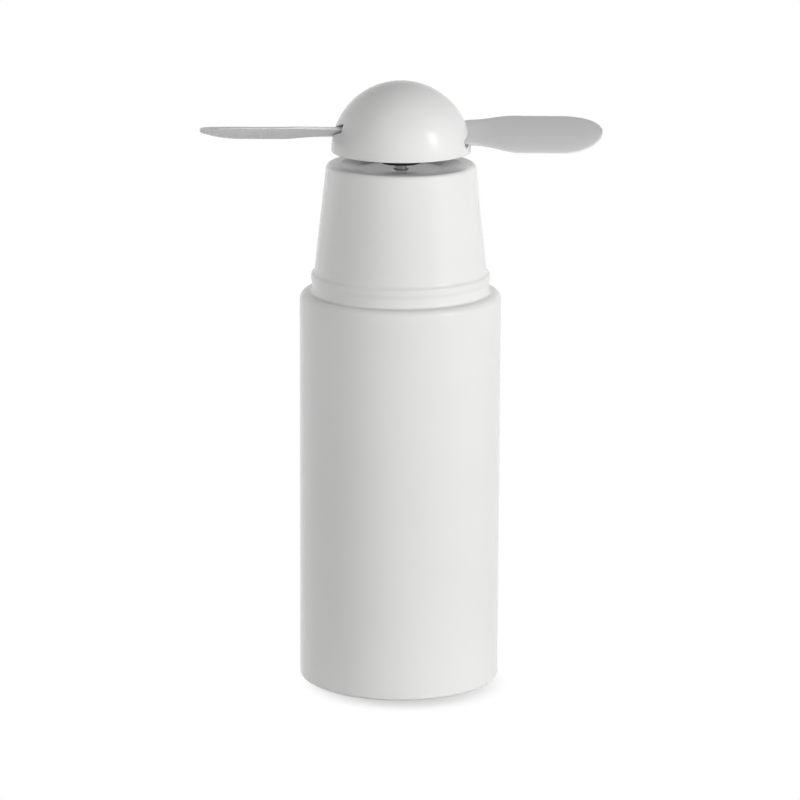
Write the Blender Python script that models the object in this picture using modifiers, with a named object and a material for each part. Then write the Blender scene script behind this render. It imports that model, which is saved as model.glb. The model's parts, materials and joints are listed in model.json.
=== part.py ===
"""Battery-powered mini fan: a cylindrical body, a tapered motor neck, a domed hub and two soft blades.

Units are metres, +Z is up, and the origin is the centre of the foot. The blades lie along X and the switch
is on the +Y side. Each sub-part is one named object, and each piece that moves has its origin on its axis.
"""

import math

import bmesh
import bpy
from mathutils import Matrix, Vector

MM = 0.001

# Clearances and fineness
seat_gap = 0.3 * MM
fit_gap = 0.15 * MM
running_gap = 0.05 * MM
overrun = 1.0 * MM
weld_distance = 0.01 * MM
wall_steps = 48
round_steps = 28
small_steps = 16
side_steps = 8
tip_steps = 12
blade_steps = 5
arc_steps = 3
dome_rings = 12
sharp_angle = math.radians(32)

# Body
body_wall = 1.6 * MM
foot_edge = 0.4 * MM
shoulder_edge = 1.3 * MM
cell_side_gap = 1.6 * MM

# Neck, or motor housing
neck_wall = 1.5 * MM
motor_side_gap = 1.8 * MM
neck_edge = 0.85 * MM
collar_setback = 2.4 * MM
neck_step = 0.2 * MM
collar_height = 1.6 * MM
collar_chamfer = 0.25 * MM
bead_height = 1.7 * MM
bead_rise = 0.4 * MM
bead_half_angle = math.radians(65)
collar_ledge = 1.0 * MM
spigot_wall = 1.5 * MM
spigot_length = 5.0 * MM
recess_depth = 1.0 * MM
recess_rim = 2.8 * MM
floor_thickness = 2.0 * MM
shaft_hole_gap = 0.6 * MM

# Motor
motor_radius = 10.0 * MM
motor_flat = 7.7 * MM
motor_can_length = 20.0 * MM
motor_wall = 0.7 * MM
motor_nose_radius = 3.1 * MM
motor_nose_height = 1.4 * MM
bell_height = 4.7 * MM
bell_skirt = 2.5 * MM
bell_floor = 1.5 * MM
bell_nose_height = 1.5 * MM
shaft_radius = 1.0 * MM
bush_wall = 1.2 * MM
bush_length = 2.4 * MM
magnet_thickness = 1.9 * MM
magnet_length = 14.0 * MM
magnet_half_angle = math.radians(43)
air_gap = 0.5 * MM
core_length = 10.0 * MM
pole_count = 3
pole_half_width = 1.1 * MM
shoe_thickness = 0.8 * MM
shoe_half_angle = math.radians(47)
core_hub_radius = 2.2 * MM
winding_thickness = 1.1 * MM
commutator_radius = 2.4 * MM
commutator_length = 4.8 * MM
brush_thickness = 0.3 * MM
brush_width = 2.4 * MM
tag_offset = 4.2 * MM
tag_length = 2.4 * MM

# Blade hub and dome
dome_radius = 12.4 * MM
dome_wall = 1.3 * MM
dome_gap = 2.25 * MM
sleeve_radius = 3.65 * MM
sleeve_drop = 2.1 * MM
platform_gap = 0.5 * MM
platform_thickness = 0.8 * MM
platform_lift = 1.0 * MM
core_radius = 6.5 * MM
core_height = 6.0 * MM
peg_radius = 2.2 * MM
peg_height = 2.6 * MM
socket_wall = 1.2 * MM

# Blades
blade_tip_radius = 35.7 * MM
blade_thickness = 1.0 * MM
blade_pitch = math.radians(17)
blade_level = 3.35 * MM
blade_root_start = 2.2 * MM
blade_root_width = 6.4 * MM
blade_throat_width = 9.6 * MM
blade_width = 14.4 * MM
blade_throat_reach = 12.6 * MM
blade_wide_reach = 21.0 * MM

# Cells
cell_radius = 7.2 * MM
cell_length = 50.2 * MM
cell_nub_radius = 2.75 * MM
cell_nub_height = 1.0 * MM
cell_edge = 0.5 * MM
cell_spacing = 15.2 * MM
cell_foot = 7.0 * MM

# Chassis
chassis_plate = 1.6 * MM
chassis_collar_wall = 1.1 * MM
chassis_collar_height = 6.7 * MM
riser_height = 3.1 * MM
contact_space = 3.6 * MM
riser_radius = 8.4 * MM
riser_wall = 1.4 * MM
spine_half_width = 8.0 * MM
spine_thickness = 1.4 * MM
spine_foot = 5.0 * MM
rib_thickness = 1.2 * MM
lead_hole_radius = 4.8 * MM
screw_radius = 0.95 * MM
screw_head_radius = 1.9 * MM
screw_head_height = 1.4 * MM
screw_length = 8.0 * MM
screw_slot_width = 0.5 * MM
screw_slot_depth = 0.6 * MM
boss_radius = 2.3 * MM
boss_bite = 0.4 * MM

# Contacts, springs and leads
strip_thickness = 0.4 * MM
strip_width = 6.0 * MM
strip_reach = 12.0 * MM
strip_tab = 2.6 * MM
strip_pad = 5.2 * MM
spring_wire_radius = 0.25 * MM
spring_radius = 2.6 * MM
spring_turns = 3
spring_points_per_turn = 10
lead_radius = 0.5 * MM
lead_points_per_span = 5

# Battery door
door_recess = 0.8 * MM
door_thickness = 1.8 * MM
door_ring_setback = 1.9 * MM
door_ring_wall = 1.3 * MM
door_ring_height = 3.6 * MM
coin_slot_length = 14.0 * MM
coin_slot_width = 1.8 * MM
coin_slot_depth = 1.0 * MM
ledge_count = 3
ledge_height = 1.3 * MM
ledge_rise = 0.5 * MM
ledge_depth = 1.5 * MM
ledge_half_angle = math.radians(14)
lug_height = 1.2 * MM
lug_half_angle = math.radians(12)

# Slide switch
switch_drop = 13.8 * MM
switch_travel = 3.0 * MM
switch_half_width = 2.8 * MM
switch_half_length = 5.5 * MM
switch_depth = 3.2 * MM
switch_cavity_depth = 2.2 * MM
switch_cavity_half_width = 1.9 * MM
cover_sheet = 0.4 * MM
ear_length = 3.8 * MM
post_radius = 0.8 * MM
pin_pitch = 3.0 * MM
pin_width = 0.9 * MM
pin_thickness = 0.5 * MM
pin_head = 0.3 * MM
pin_tail = 3.3 * MM
wiper_thickness = 0.15 * MM
wiper_half_width = 0.8 * MM
wiper_half_length = 2.0 * MM
lever_block_half_width = 1.6 * MM
lever_block_half_length = 2.2 * MM
lever_stem_half_width = 0.9 * MM
lever_stem_half_length = 1.0 * MM
lever_engagement = 0.2 * MM
knob_plate_thickness = 1.2 * MM
knob_plate_half_length = 7.0 * MM
knob_plate_half_width = 4.3 * MM
knob_half_width = 2.7 * MM
knob_half_length = 2.7 * MM
knob_rise = 1.1 * MM
knob_groove_count = 3
knob_groove_width = 0.6 * MM
knob_groove_depth = 0.5 * MM

# Radii that follow from the sizes above
cell_offset = cell_spacing / 2
bore_radius = cell_offset + cell_radius + cell_side_gap
body_radius = bore_radius + body_wall
collar_radius = body_radius - collar_setback
neck_base_radius = collar_radius - neck_step
neck_top_radius = motor_radius + motor_side_gap + neck_wall
spigot_radius = collar_radius - collar_ledge
spigot_bore = spigot_radius - spigot_wall
screw_offset = spigot_bore + boss_bite - boss_radius
bush_bore = shaft_radius + running_gap
press_bore = shaft_radius + fit_gap
platform_radius = dome_radius - dome_wall - platform_gap
door_ring_radius = bore_radius - door_ring_setback

# Levels that follow, from the foot up
door_foot = door_recess
door_top = door_foot + door_thickness
ledge_foot = door_top + ledge_rise
lug_foot = ledge_foot + ledge_height + seat_gap
cell_top = cell_foot + cell_length
plate_foot = cell_top + contact_space
plate_top = plate_foot + chassis_plate
strip_top = plate_foot - seat_gap
body_height = plate_top + chassis_collar_height + seat_gap + body_wall
collar_foot = body_height + seat_gap
collar_top = collar_foot + collar_height
bead_top = collar_top + bead_height
riser_top = plate_top + riser_height
bell_foot = riser_top + seat_gap
bell_top = bell_foot + bell_height
can_foot = bell_top + seat_gap
motor_front = can_foot + motor_can_length
cavity_top = motor_front + seat_gap
nose_pocket_top = motor_front + motor_nose_height + seat_gap
recess_floor = cavity_top + floor_thickness
neck_top = recess_floor + recess_depth
dome_foot = neck_top + dome_gap
blade_height = dome_foot + blade_level
sleeve_foot = dome_foot - sleeve_drop
platform_top = dome_foot + platform_lift
core_top = platform_top + core_height

# Places of the switch, from the chassis's spine out to the body's wall
spine_inner = cell_radius + seat_gap
spine_outer = spine_inner + spine_thickness
switch_level = plate_foot - switch_drop
off_level = switch_level - switch_travel / 2
switch_floor = spine_outer + seat_gap
switch_face = switch_floor + switch_depth
cover_inner = switch_face + seat_gap
cover_outer = cover_inner + cover_sheet
knob_plate_outer = bore_radius - seat_gap
knob_plate_inner = knob_plate_outer - knob_plate_thickness
lever_tip = knob_plate_inner + lever_engagement + seat_gap
knob_outer = body_radius + knob_rise


# Scene helpers

def clear_scene():
    """Remove every object and collection that the file holds."""
    for item in list(bpy.data.objects):
        bpy.data.objects.remove(item, do_unlink=True)
    for group in list(bpy.data.collections):
        bpy.data.collections.remove(group)


def new_collection(name):
    group = bpy.data.collections.new(name)
    bpy.context.scene.collection.children.link(group)
    return group


clear_scene()
fan_parts = new_collection("mini_fan")
cutters = new_collection("cutters")


def new_material(name, colour, roughness, metallic=0.0):
    """Principled material with one colour."""
    material = bpy.data.materials.new(name)
    material.use_nodes = True
    shader = material.node_tree.nodes["Principled BSDF"]
    shader.inputs["Base Color"].default_value = (*colour, 1.0)
    shader.inputs["Roughness"].default_value = roughness
    shader.inputs["Metallic"].default_value = metallic
    material.diffuse_color = (*colour, 1.0)
    return material


def new_object(name, mesh):
    item = bpy.data.objects.new(name, mesh)
    fan_parts.objects.link(item)
    return item


def turned(name, profile, steps, centre=(0, 0)):
    """Turn an (r, z) profile, listed from the top down its outer side, about the vertical line at centre."""
    edges = [(i, i + 1) for i in range(len(profile) - 1)]
    if profile[0][0] > 0 or profile[-1][0] > 0:
        edges.append((len(profile) - 1, 0))
    mesh = bpy.data.meshes.new(name)
    mesh.from_pydata([(r, 0, z) for r, z in profile], edges, [])
    item = new_object(name, mesh)
    item.location = (*centre, 0)
    screw = item.modifiers.new("turn", "SCREW")
    screw.steps = steps
    screw.render_steps = steps
    screw.use_merge_vertices = True
    screw.merge_threshold = weld_distance
    return item


def settle(item):
    """Replace the object's modifiers by the mesh that they make, with welded points."""
    bpy.context.view_layer.update()
    evaluated = item.evaluated_get(bpy.context.evaluated_depsgraph_get())
    mesh = bpy.data.meshes.new_from_object(evaluated)
    name = item.name
    matrix = item.matrix_world.copy()
    bpy.data.objects.remove(item, do_unlink=True)
    work = bmesh.new()
    work.from_mesh(mesh)
    bmesh.ops.remove_doubles(work, verts=work.verts, dist=weld_distance)
    work.to_mesh(mesh)
    work.free()
    mesh.transform(matrix)
    solid = new_object(name, mesh)
    solid.name = name
    return solid


def prism(name, outline, low, high, matrix=None):
    """Extrude a flat outline of (x, y) points from low to high along Z, then place it by matrix."""
    curve = bpy.data.curves.new(name, "CURVE")
    curve.dimensions = "2D"
    curve.fill_mode = "BOTH"
    curve.extrude = (high - low) / 2
    line = curve.splines.new("POLY")
    line.points.add(len(outline) - 1)
    for point, (x, y) in zip(line.points, outline):
        point.co = (x, y, 0, 1)
    line.use_cyclic_u = True
    item = new_object(name, curve)
    lift = Matrix.Translation((0, 0, (low + high) / 2))
    item.matrix_world = lift if matrix is None else matrix @ lift
    return settle(item)


# Turn that stands an outline of (y, z) points up, extruded along X
side_on = Matrix(((0, 0, 1, 0), (1, 0, 0, 0), (0, 1, 0, 0), (0, 0, 0, 1)))


def block(name, low, high):
    """Box between two corners."""
    bpy.ops.mesh.primitive_cube_add(size=1)
    item = bpy.context.active_object
    item.name = name
    for group in list(item.users_collection):
        group.objects.unlink(item)
    fan_parts.objects.link(item)
    size = [b - a for a, b in zip(low, high)]
    centre = [(a + b) / 2 for a, b in zip(low, high)]
    item.data.transform(Matrix.Translation(centre) @ Matrix.Diagonal((*size, 1)))
    return item


def rod(name, radius, low, high, steps=small_steps, centre=(0, 0)):
    """Upright cylinder."""
    profile = [(0, high), (radius, high), (radius, low), (0, low)]
    return turned(name, profile, steps, centre)


def ring(name, inner, outer, low, high, steps=round_steps, centre=(0, 0)):
    """Upright tube with square ends."""
    profile = [(inner, high), (outer, high), (outer, low), (inner, low)]
    return turned(name, profile, steps, centre)


def arc(radius, start, end, steps, centre=(0, 0)):
    """Points along an arc, both ends included."""
    turns = [start + (end - start) * i / steps for i in range(steps + 1)]
    return [(centre[0] + radius * math.cos(t), centre[1] + radius * math.sin(t)) for t in turns]


def sector(name, inner, outer, middle, half_angle, low, high):
    """Curved bar: part of a tube between two angles."""
    outer_side = arc(outer, middle - half_angle, middle + half_angle, side_steps)
    inner_side = arc(inner, middle + half_angle, middle - half_angle, side_steps)
    return prism(name, outer_side + inner_side, low, high)


def smooth_path(points, per_span):
    """Points of a Catmull-Rom curve through the given points."""
    knots = [Vector(p) for p in points]
    knots = [2 * knots[0] - knots[1]] + knots + [2 * knots[-1] - knots[-2]]
    path = []
    for a, b, c, d in zip(knots, knots[1:], knots[2:], knots[3:]):
        for i in range(per_span):
            t = i / per_span
            path.append(0.5 * (2 * b + (c - a) * t + (2 * a - 5 * b + 4 * c - d) * t ** 2
                               + (3 * b - a - 3 * c + d) * t ** 3))
    return path + [knots[-2]]


def wire(name, path, radius, fineness=1):
    """Round wire along a list of points, with closed ends."""
    curve = bpy.data.curves.new(name, "CURVE")
    curve.dimensions = "3D"
    curve.bevel_depth = radius
    curve.bevel_resolution = fineness
    curve.use_fill_caps = True
    line = curve.splines.new("POLY")
    line.points.add(len(path) - 1)
    for point, place in zip(line.points, path):
        point.co = (*place, 1)
    return settle(new_object(name, curve))


def combine(item, tool, operation):
    """Boolean of one piece with a helper solid, which is kept hidden among the cutters."""
    fan_parts.objects.unlink(tool)
    cutters.objects.link(tool)
    tool.hide_render = True
    tool.display_type = "WIRE"
    step = item.modifiers.new(tool.name, "BOOLEAN")
    step.operation = operation
    step.solver = "EXACT"
    step.object = tool


def cut(item, *tools):
    for tool in tools:
        combine(item, tool, "DIFFERENCE")


def join(item, *tools):
    for tool in tools:
        combine(item, tool, "UNION")


def finish(item, material, origin=(0, 0, 0)):
    """Give the piece its material, smooth shading on round faces and its origin."""
    name = item.name
    solid = settle(item)
    solid.name = name
    solid.data.materials.clear()
    solid.data.materials.append(material)
    solid.data.shade_smooth()
    solid.data.set_sharp_from_angle(angle=sharp_angle)
    solid.data.transform(Matrix.Translation([-c for c in origin]))
    solid.location = origin
    return solid


# Materials

white_abs = new_material("white_abs", (0.86, 0.86, 0.85), 0.28)
inner_abs = new_material("inner_abs", (0.70, 0.70, 0.69), 0.5)
black_abs = new_material("black_abs", (0.03, 0.03, 0.03), 0.45)
soft_blade = new_material("soft_blade", (0.84, 0.85, 0.85), 0.55)
bright_steel = new_material("bright_steel", (0.62, 0.62, 0.63), 0.3, 1.0)
bronze = new_material("bronze", (0.55, 0.38, 0.20), 0.5, 1.0)
ferrite = new_material("ferrite", (0.10, 0.10, 0.11), 0.8)
copper = new_material("copper", (0.72, 0.36, 0.18), 0.35, 1.0)
cell_sleeve = new_material("cell_sleeve", (0.22, 0.24, 0.27), 0.35)
red_lead = new_material("red_lead", (0.55, 0.05, 0.04), 0.45)
black_lead = new_material("black_lead", (0.04, 0.04, 0.04), 0.45)


# Body

def rounded_corner(radius, z, edge, upper):
    """Quarter round at an outer corner, listed downwards."""
    if upper:
        return arc(edge, math.pi / 2, 0, arc_steps, (radius - edge, z - edge))
    return arc(edge, 0, -math.pi / 2, arc_steps, (radius - edge, z + edge))


def make_body_shell():
    """Tube with a rounded shoulder, the knob's window and the door's bayonet ledges."""
    mouth = spigot_radius + seat_gap
    profile = [(mouth, body_height)]
    profile += rounded_corner(body_radius, body_height, shoulder_edge, True)
    profile += rounded_corner(body_radius, 0, foot_edge, False)
    profile += [(bore_radius, 0), (bore_radius, body_height - body_wall), (mouth, body_height - body_wall)]
    body = turned("body_shell", profile, wall_steps)
    ledges = []
    for i in range(ledge_count):
        ledges.append(sector(f"ledge_{i}", bore_radius - ledge_depth, bore_radius + body_wall / 2,
                             math.tau * i / ledge_count + math.pi / 2, ledge_half_angle,
                             ledge_foot, ledge_foot + ledge_height))
    join(body, *ledges)
    half_width = knob_half_width + seat_gap
    reach = knob_half_length + seat_gap
    window = block("knob_window",
                   (-half_width, bore_radius - ledge_depth, off_level - reach),
                   (half_width, knob_outer, off_level + switch_travel + reach))
    cut(body, window)
    return finish(body, white_abs)


def neck_radius(z):
    """Outer radius of the neck's cone at a height."""
    share = (z - bead_top) / (neck_top - bead_top)
    return neck_base_radius + (neck_top_radius - neck_base_radius) * share


def make_neck_housing():
    """Tapered motor housing: recessed top, pocket for the motor's nose, bead, collar, spigot and bosses."""
    recess_radius = neck_top_radius - recess_rim
    bead_radius = collar_radius + bead_rise
    bead_middle = (collar_top + bead_top) / 2
    spigot_foot = collar_foot - spigot_length
    nose_hole = motor_nose_radius + seat_gap
    shaft_hole = shaft_radius + shaft_hole_gap
    profile = [(shaft_hole, recess_floor), (recess_radius, recess_floor), (recess_radius, neck_top)]
    profile += rounded_corner(neck_top_radius, neck_top, neck_edge, True)
    profile += [(neck_base_radius, bead_top)]
    profile += arc(bead_height / 2, bead_half_angle, -bead_half_angle, arc_steps,
                   (bead_radius - bead_height / 2, bead_middle))
    profile += [(collar_radius, collar_top), (collar_radius, collar_foot + collar_chamfer),
                (collar_radius - collar_chamfer, collar_foot), (spigot_radius, collar_foot),
                (spigot_radius, spigot_foot), (spigot_bore, spigot_foot), (spigot_bore, collar_foot),
                (neck_base_radius - neck_wall, bead_top),
                (neck_radius(cavity_top) - neck_wall, cavity_top), (nose_hole, cavity_top),
                (nose_hole, nose_pocket_top), (shaft_hole, nose_pocket_top)]
    neck = turned("neck_housing", profile, wall_steps)
    boss_foot = plate_top + seat_gap
    for i, y in enumerate((-screw_offset, screw_offset)):
        boss = rod(f"boss_{i}", boss_radius, boss_foot, body_height - seat_gap, centre=(0, y))
        join(neck, boss)
    for i, y in enumerate((-screw_offset, screw_offset)):
        pilot = rod(f"pilot_{i}", screw_radius + fit_gap, boss_foot - overrun,
                    plate_foot + screw_length + seat_gap, centre=(0, y))
        cut(neck, pilot)
    return finish(neck, white_abs)


# Chassis and its screws

def make_chassis():
    """Frame inside the body: contact plate, collar, motor riser, and two cradle spines with ribs."""
    outer = bore_radius - seat_gap
    inner = outer - chassis_collar_wall
    collar_end = body_height - body_wall - seat_gap
    profile = [(inner, collar_end), (outer, collar_end), (outer, plate_foot), (lead_hole_radius, plate_foot),
               (lead_hole_radius, plate_top), (riser_radius - riser_wall, plate_top),
               (riser_radius - riser_wall, riser_top), (riser_radius, riser_top), (riser_radius, plate_top),
               (inner, plate_top)]
    chassis = turned("chassis", profile, wall_steps)
    spine_low = cell_foot + spine_foot
    overlap = chassis_plate / 2
    rib_outer = math.sqrt(outer ** 2 - spine_half_width ** 2)
    for side in (-1, 1):
        edges = sorted((side * spine_inner, side * spine_outer))
        spine = block(f"spine_{side}", (-spine_half_width, edges[0], spine_low),
                      (spine_half_width, edges[1], plate_foot + overlap))
        join(chassis, spine)
        for end in (-1, 1):
            ys = sorted((side * (spine_outer - spine_thickness / 2), side * rib_outer))
            xs = sorted((end * spine_half_width, end * (spine_half_width - rib_thickness)))
            rib = block(f"rib_{side}_{end}", (xs[0], ys[0], spine_low), (xs[1], ys[1], plate_foot + overlap))
            join(chassis, rib)
    for end in (-1, 1):
        z = switch_level + end * (switch_half_length + cover_sheet + seat_gap + ear_length / 2)
        post = rod(f"post_{end}", post_radius, 0, cover_sheet + 2 * seat_gap + spine_thickness / 2)
        post.matrix_world = (Matrix.Translation((0, spine_outer - spine_thickness / 2, z))
                             @ Matrix.Rotation(-math.pi / 2, 4, "X"))
        join(chassis, post)
    pin_reach = pin_pitch + pin_thickness + seat_gap
    pins = block("pin_window", (-pin_width, spine_inner - overrun, switch_level - pin_reach),
                 (pin_width, spine_outer + overrun, switch_level + pin_reach))
    cut(chassis, pins)
    for i, y in enumerate((-screw_offset, screw_offset)):
        cut(chassis, rod(f"screw_hole_{i}", screw_radius + seat_gap, plate_foot - overrun,
                         plate_top + overrun, centre=(0, y)))
    return finish(chassis, inner_abs)


def make_chassis_screw(name, y):
    """Pan-head screw driven upwards, with a straight slot in its head."""
    seat = plate_foot - seat_gap
    head_foot = seat - screw_head_height
    tip = seat + screw_length
    profile = [(0, tip), (screw_radius / 2, tip), (screw_radius, tip - screw_radius), (screw_radius, seat),
               (screw_head_radius, seat), (screw_head_radius, seat - screw_head_height / 2),
               (screw_head_radius - screw_head_height / 2, head_foot), (0, head_foot)]
    screw = turned(name, profile, small_steps, (0, y))
    reach = screw_head_radius + overrun
    slot = block(name + "_slot", (-reach, y - screw_slot_width / 2, head_foot - overrun),
                 (reach, y + screw_slot_width / 2, head_foot + screw_slot_depth))
    cut(screw, slot)
    return finish(screw, bright_steel)


# Motor

def motor_outline(inset):
    """Circle with two flats, drawn inwards by inset."""
    radius = motor_radius - inset
    flat = math.asin((motor_flat - inset) / radius)
    return arc(radius, -flat, flat, side_steps) + arc(radius, math.pi - flat, math.pi + flat, side_steps)


def make_motor_can():
    """Drawn steel cup with a nose that holds the front bush."""
    can = prism("motor_can", motor_outline(0), can_foot, motor_front)
    nose = rod("can_nose", motor_nose_radius, motor_front - motor_wall / 2, motor_front + motor_nose_height,
               round_steps)
    join(can, nose)
    hollow = prism("can_hollow", motor_outline(motor_wall), can_foot - overrun, motor_front - motor_wall)
    bore = rod("nose_bore", bush_bore + bush_wall + fit_gap, motor_front - motor_wall - overrun,
               motor_front + motor_nose_height + overrun, round_steps)
    cut(can, hollow, bore)
    return finish(can, bright_steel)


def make_motor_end_bell():
    """Moulded rear cover with a skirt inside the can, a bush seat and two slots for the brush strips."""
    bell = prism("motor_end_bell", motor_outline(0), bell_foot, bell_top)
    floor = bell_foot + bell_floor
    rim = bell_top + bell_skirt
    nose_foot = bell_foot - bell_nose_height
    skirt = prism("bell_skirt", motor_outline(motor_wall + seat_gap), floor, rim)
    nose = rod("bell_nose", bush_bore + bush_wall + motor_wall, nose_foot, floor, round_steps)
    join(bell, skirt, nose)
    hollow = prism("bell_hollow", motor_outline(2 * motor_wall + seat_gap), floor, rim + overrun)
    bore = rod("bell_bore", bush_bore + bush_wall + fit_gap, nose_foot - overrun, floor + overrun,
               round_steps)
    cut(bell, hollow, bore)
    half_width = brush_width / 2 + fit_gap
    for side in (-1, 1):
        middle = side * tag_offset
        cut(bell, block(f"tag_slot_{side}",
                        (-half_width, middle - brush_thickness / 2 - fit_gap, bell_foot - overrun),
                        (half_width, middle + brush_thickness / 2 + fit_gap, floor + overrun)))
    return finish(bell, black_abs)


def make_bush(name, high):
    """Plain bronze sleeve that ends at a height and carries the shaft."""
    bush = ring(name, bush_bore, bush_bore + bush_wall, high - bush_length, high)
    return finish(bush, bronze)


def make_magnet(name, middle):
    """Arc magnet against the can's round wall."""
    outer = motor_radius - motor_wall - seat_gap
    centre = motor_front - motor_can_length / 2
    magnet = sector(name, outer - magnet_thickness, outer, middle, magnet_half_angle,
                    centre - magnet_length / 2, centre + magnet_length / 2)
    return finish(magnet, ferrite)


def make_brush(name, side):
    """Bent strip: solder tag below the bell, then a finger that leans on the commutator."""
    contact = commutator_radius + running_gap + brush_thickness / 2
    floor = bell_foot + bell_floor
    reach = bell_top + bell_skirt / 2
    line = [(tag_offset, bell_foot - tag_length), (tag_offset, floor + seat_gap), (contact, reach - overrun),
            (contact, reach + overrun)]
    half = brush_thickness / 2
    outline = [(y - half, z) for y, z in line] + [(y + half, z) for y, z in reversed(line)]
    outline = [(side * y, z) for y, z in outline]
    brush = prism(name, outline, -brush_width / 2, brush_width / 2, side_on)
    return finish(brush, copper)


# Rotor

def polar(radius, angle):
    return (radius * math.cos(angle), radius * math.sin(angle))


def core_outline():
    """Three-pole star: hub arcs, narrow necks and wide curved shoes."""
    outer = motor_radius - motor_wall - seat_gap - magnet_thickness - air_gap
    inner = outer - shoe_thickness
    points = []
    neck_at_hub = math.asin(pole_half_width / core_hub_radius)
    neck_at_shoe = math.asin(pole_half_width / inner)
    for i in range(pole_count):
        middle = math.tau * i / pole_count
        points += [polar(core_hub_radius, middle - neck_at_hub), polar(inner, middle - neck_at_shoe),
                   polar(inner, middle - shoe_half_angle)]
        points += arc(outer, middle - shoe_half_angle, middle + shoe_half_angle, side_steps)
        points += [polar(inner, middle + shoe_half_angle), polar(inner, middle + neck_at_shoe),
                   polar(core_hub_radius, middle + neck_at_hub)]
        points.append(polar(core_hub_radius, middle + math.pi / pole_count))
    return points


core_middle = motor_front - motor_can_length / 2
core_foot = core_middle - core_length / 2


def make_rotor_core():
    core = prism("rotor_core", core_outline(), core_foot, core_foot + core_length)
    cut(core, rod("core_bore", press_bore, core_foot - overrun, core_foot + core_length + overrun))
    return finish(core, bright_steel)


def make_rotor_winding(name, middle):
    """Copper winding: a rectangular ring round one pole's neck."""
    shoe_inner = motor_radius - motor_wall - 2 * seat_gap - magnet_thickness - air_gap - shoe_thickness
    half_hole = pole_half_width + seat_gap
    half_width = half_hole + winding_thickness
    inner = core_hub_radius + 2 * seat_gap
    outer = math.sqrt(shoe_inner ** 2 - half_width ** 2)
    low = core_foot - seat_gap
    high = core_foot + core_length + seat_gap
    winding = block(name, (inner, -half_width, low - winding_thickness),
                    (outer, half_width, high + winding_thickness))
    hole = block(name + "_hole", (inner - overrun, -half_hole, low), (outer + overrun, half_hole, high))
    turn = Matrix.Rotation(middle, 4, "Z")
    winding.data.transform(turn)
    hole.data.transform(turn)
    cut(winding, hole)
    return finish(winding, copper)


def make_commutator():
    """Ring with a groove between each pair of its three segments."""
    high = core_foot - seat_gap - winding_thickness - seat_gap
    low = high - commutator_length
    ring_piece = ring("commutator", press_bore, commutator_radius, low, high)
    for i in range(pole_count):
        groove = block(f"groove_{i}", (commutator_radius - seat_gap, -fit_gap, low - overrun),
                       (commutator_radius + overrun, fit_gap, high + overrun))
        groove.data.transform(Matrix.Rotation(math.tau * (i + 0.5) / pole_count, 4, "Z"))
        cut(ring_piece, groove)
    return finish(ring_piece, copper)


def make_motor_shaft():
    low = bell_foot - bell_nose_height - fit_gap
    shaft = rod("motor_shaft", shaft_radius, low, core_top - socket_wall, round_steps)
    return finish(shaft, bright_steel)


# Hub, dome and blades

def blade_half_width(reach):
    """Half of the blade's width at a distance from the axis, easing from its throat to its full width."""
    if reach <= blade_throat_reach:
        share = max(0.0, (reach - core_radius) / (blade_throat_reach - core_radius))
        return (blade_root_width + (blade_throat_width - blade_root_width) * share) / 2
    share = min(1.0, (reach - blade_throat_reach) / (blade_wide_reach - blade_throat_reach))
    eased = share * share * (3 - 2 * share)
    return (blade_throat_width + (blade_width - blade_throat_width) * eased) / 2


def blade_outline():
    """Root tab, throat, full width and a round tip, along +X."""
    tip_start = blade_tip_radius - blade_width / 2
    stations = [blade_root_start, core_radius, blade_throat_reach]
    step = (blade_wide_reach - blade_throat_reach) / blade_steps
    stations += [blade_throat_reach + step * (i + 1) for i in range(blade_steps)]
    lower = [(x, -blade_half_width(x)) for x in stations]
    upper = [(x, blade_half_width(x)) for x in reversed(stations)]
    tip = arc(blade_width / 2, -math.pi / 2, math.pi / 2, tip_steps, (tip_start, 0))
    return lower + tip + upper


def blade_matrix(turn):
    """Place of a blade: pitched about its span at the blade level, then turned about the axis."""
    return (Matrix.Rotation(turn, 4, "Z") @ Matrix.Translation((0, 0, blade_height))
            @ Matrix.Rotation(blade_pitch, 4, "X"))


def make_blade(name, turn):
    blade = prism(name, blade_outline(), -blade_thickness / 2, blade_thickness / 2, blade_matrix(turn))
    return finish(blade, soft_blade, (0, 0, blade_height))


def blade_slot(name, turn, start, end, width):
    """Cutter for a blade's seat, with the seat clearance all round."""
    half = blade_thickness / 2 + seat_gap
    outline = [(start, -width / 2 - seat_gap), (end, -width / 2 - seat_gap),
               (end, width / 2 + seat_gap), (start, width / 2 + seat_gap)]
    return prism(name, outline, -half, half, blade_matrix(turn))


def make_blade_hub():
    """Sleeve on the shaft, platform under the blades, core with a pitched slot for each root, and a peg."""
    peg_top = core_top + peg_height
    platform_foot = platform_top - platform_thickness
    profile = [(0, peg_top), (peg_radius, peg_top), (peg_radius, core_top), (core_radius, core_top),
               (core_radius, platform_top), (platform_radius, platform_top),
               (platform_radius, platform_foot), (sleeve_radius, platform_foot),
               (sleeve_radius, sleeve_foot), (0, sleeve_foot)]
    hub = turned("blade_hub", profile, round_steps)
    bore_end = core_top - socket_wall + seat_gap
    cut(hub, rod("hub_bore", press_bore, sleeve_foot - overrun, bore_end, round_steps))
    for i, turn in enumerate((0, math.pi)):
        cut(hub, blade_slot(f"root_slot_{i}", turn, blade_root_start - seat_gap, core_radius + overrun,
                            blade_root_width))
    return finish(hub, black_abs, (0, 0, sleeve_foot))


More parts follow.
